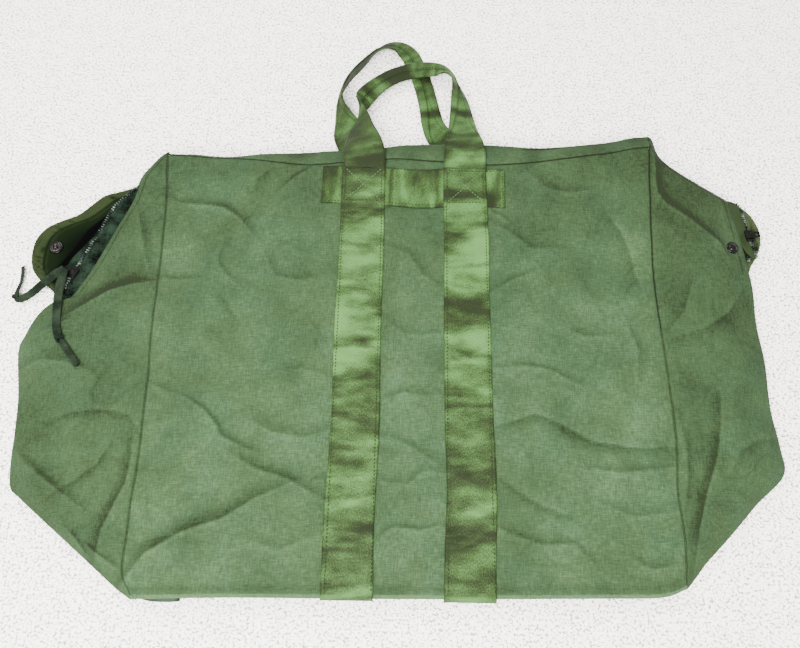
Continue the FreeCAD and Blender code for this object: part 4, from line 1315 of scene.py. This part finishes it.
def build_zips():
    front_inner = [
        (-364, -36, 14.5), (-356, -22, 16.5), (-341, 6, 20), (-325, 44, 25), (-309, 80, 29.5),
        (-300, 108, 33), (-288, 130, 34), (-274, 144, 33), (-240, 146, 29), (-150, 147, 28), (0, 156, 29),
        (150, 165, 30), (260, 170, 33), (300, 164, 36), (318, 144, 31), (352, 122, 24), (384, 103, 20),
        (391, 90, 19), (396, 66, 17.8), (399, 50, 17), (404, 38, 16), (411, 31, 15),
    ]
    front_outer = [
        (-375.7, -29.6, 16.5), (-371, -19.3, 18), (-357, 11.4, 22.4), (-343, 42, 26.8), (-329, 72.8, 31.3),
        (-317, 88, 33), (-303, 104, 32), (-290, 119, 30), (-270, 138, 28), (-240, 146, 24), (-150, 147, 22),
        (0, 156, 22), (150, 165, 23), (260, 170, 26), (300, 160, 29), (322, 138, 25), (354, 121, 19),
        (388, 103, 17), (403, 100, 19), (407, 80, 18), (411, 52, 16.3), (416, 31, 14.8),
    ]
    back_inner = [
        (-386, -30, 6), (-387, -10, 6.5), (-378, 18, 6.5), (-354, 52, 6.5), (-326, 88, 7), (-298, 118, 7),
        (-274, 140, 7), (-150, 146, 8), (0, 155, 8), (150, 163, 8), (285, 170, 8), (330, 134, 8),
        (380, 108, 8), (398, 102, 8.5), (409, 92, 8.5), (410, 82, 8.5), (413, 72, 9), (421, 60, 9),
        (423, 50, 9), (413, 34, 8),
    ]
    back_outer = [
        (-373, -32, 8), (-375, -12, 8.5), (-367, 10, 8.5), (-345, 44, 8.5), (-317, 79, 9), (-290, 108, 9),
        (-270, 130, 9), (-150, 138, 10), (0, 147, 10), (150, 155, 10), (282, 160, 10), (326, 125, 10),
        (376, 100, 10), (394, 95, 10.5), (401, 87, 11), (404, 76, 11), (404, 68, 11), (412, 55, 11),
        (414, 47, 11), (408, 30, 10),
    ]
    zip_side("front", front_inner, front_outer, 81)
    zip_side("back", back_inner, back_outer, 82)


# ---- snaps -----------------------------------------------------------------------------------


def lathed(name, profile, centre, normal, slot, node):
    """A turned piece: profile rows are radius, height and material, in millimetres."""
    base = np.array(Vector(normal).to_track_quat("Z", "Y").to_matrix())
    sides = 48
    cos, sin = circle(sides)
    rings = [np.stack([radius * cos, radius * sin, height + 0 * cos], -1) for radius, height, _ in profile]
    materials = list(dict.fromkeys(material for _, _, material in profile))
    piece = swept(name, np.array(rings) @ base.T + np.array(centre), materials[0])
    for material in materials[1:]:
        piece.data.materials.append(material)
    finishes = [materials.index(material) for _, _, material in profile]
    ends = [finishes[0], finishes[-1]]
    piece.data.polygons.foreach_set("material_index", [*np.repeat(finishes[1:], sides), *ends])
    return finished(piece, "bag", slot, node)


def build_snaps(end_cover):
    centre, slope = end_cover.look(*RIGHT_SNAP)
    normal = 0.6 * slope + 0.4 * UP
    dome = [(7.2, -0.6), (7.4, 0.2), (7.2, 0.8), (6.6, 1.3), (5.7, 1.5), (5.3, 1.45), (4.7, 1.9), (3.6, 2.8),
            (2.2, 3.4), (1.0, 3.6), (0.3, 3.65)]
    lathed("snap_cap_right_dome", [(*row, snap_enamel) for row in dome], centre + 0.5 * slope, normal,
           "snap_black", "snap_cap_right")
    # The enamel is worn to the metal on the ring's ridge and on the stud's top.
    ring = [(7.8, -0.4, snap_enamel), (8.0, 0.3, snap_enamel), (7.4, 0.9, snap_enamel),
            (6.0, 1.0, snap_enamel), (5.2, 0.6, snap_enamel), (4.7, 1.0, snap_metal),
            (4.1, 1.4, snap_metal), (3.6, 1.0, snap_enamel), (3.2, 0.3, snap_enamel),
            (2.0, 0.3, snap_enamel), (1.8, 1.6, snap_enamel), (1.4, 2.2, snap_metal),
            (0.7, 2.4, snap_metal), (0.3, 2.3, snap_metal)]
    for node, place in (("snap_stud_left", LEFT_SNAP), ("snap_stud_right", RIGHT_SNAP)):
        lathed(node + "_ring", ring, (*place, 5.6), UP, "snap_metal", node)


make_camera()
make_lights()
floor_corners = [(x * FLOOR_REACH, y * FLOOR_REACH, 0) for x, y in ((-1, -1), (1, -1), (1, 1), (-1, 1))]
floor = link_mesh("floor", floor_corners, [(0, 1, 2, 3)], floor_material())
thong("thong_outer_left", THONG_OUTER, knot_share=0.66, tilt_low=20, tilt_high=30)
thong("thong_inner_left", THONG_INNER, knot_share=0.68, tilt_low=12, tilt_high=0)

front = front_panel()
front_band = top_band_front()
front_halves, back_halves = build_ends()
back = back_panel()
back_band = top_band_back()
bottom = bottom_panel()

straps = [strap(node) for node in ("strap_left", "strap_right")]
front_patch = patch("handle_patch_front", patch_height)
patch("handle_patch_back", lambda x, y: BACK_PATCH_Z + 0 * x)
handle("handle_front", on_straps(HANDLE_FRONT))
handle("handle_back", HANDLE_BACK)
build_stitching(Cover(*straps), Cover(front_patch))
build_zips()
build_snaps(Cover(*front_halves))

# Painted shade in the seams' grooves, darkest along the top seam and where the right seam opens near the top.
DARK_JOINTS = 5     # of the right seam, which opens a little towards the top
SEAM_CORDS = {
    "left": (LEFT_SEAM, 0.4, seam_shade_pale),
    "right_upper": (RIGHT_SEAM[:DARK_JOINTS], 0.55, seam_shade_dark),
    "right_lower": (RIGHT_SEAM[DARK_JOINTS - 1:], 0.4, seam_shade_pale),
    "top": (TOP_SEAM, 0.45, seam_shade_dark),
}
seam_cover = Cover(front, front_band, *front_halves)
for name, (seam, radius, material) in SEAM_CORDS.items():
    line = seam_cover.line(smooth_line(seam, 200), 0.0, 3.0)
    tube("seam_cord_" + name, line, radius, material, "nylon_cloth")

FINISHES = {
    "zip_stop": hardware_metal, "zip_slider": hardware_metal, "zip_pull": hardware_metal,
    "snap_cap": snap_enamel, "snap_stud_cap": snap_enamel, "snap_socket": snap_metal,
}
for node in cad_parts.values():
    for start, finish in FINISHES.items():
        if node.name.startswith(start):
            node.data.materials.clear()
            node.data.materials.append(finish)
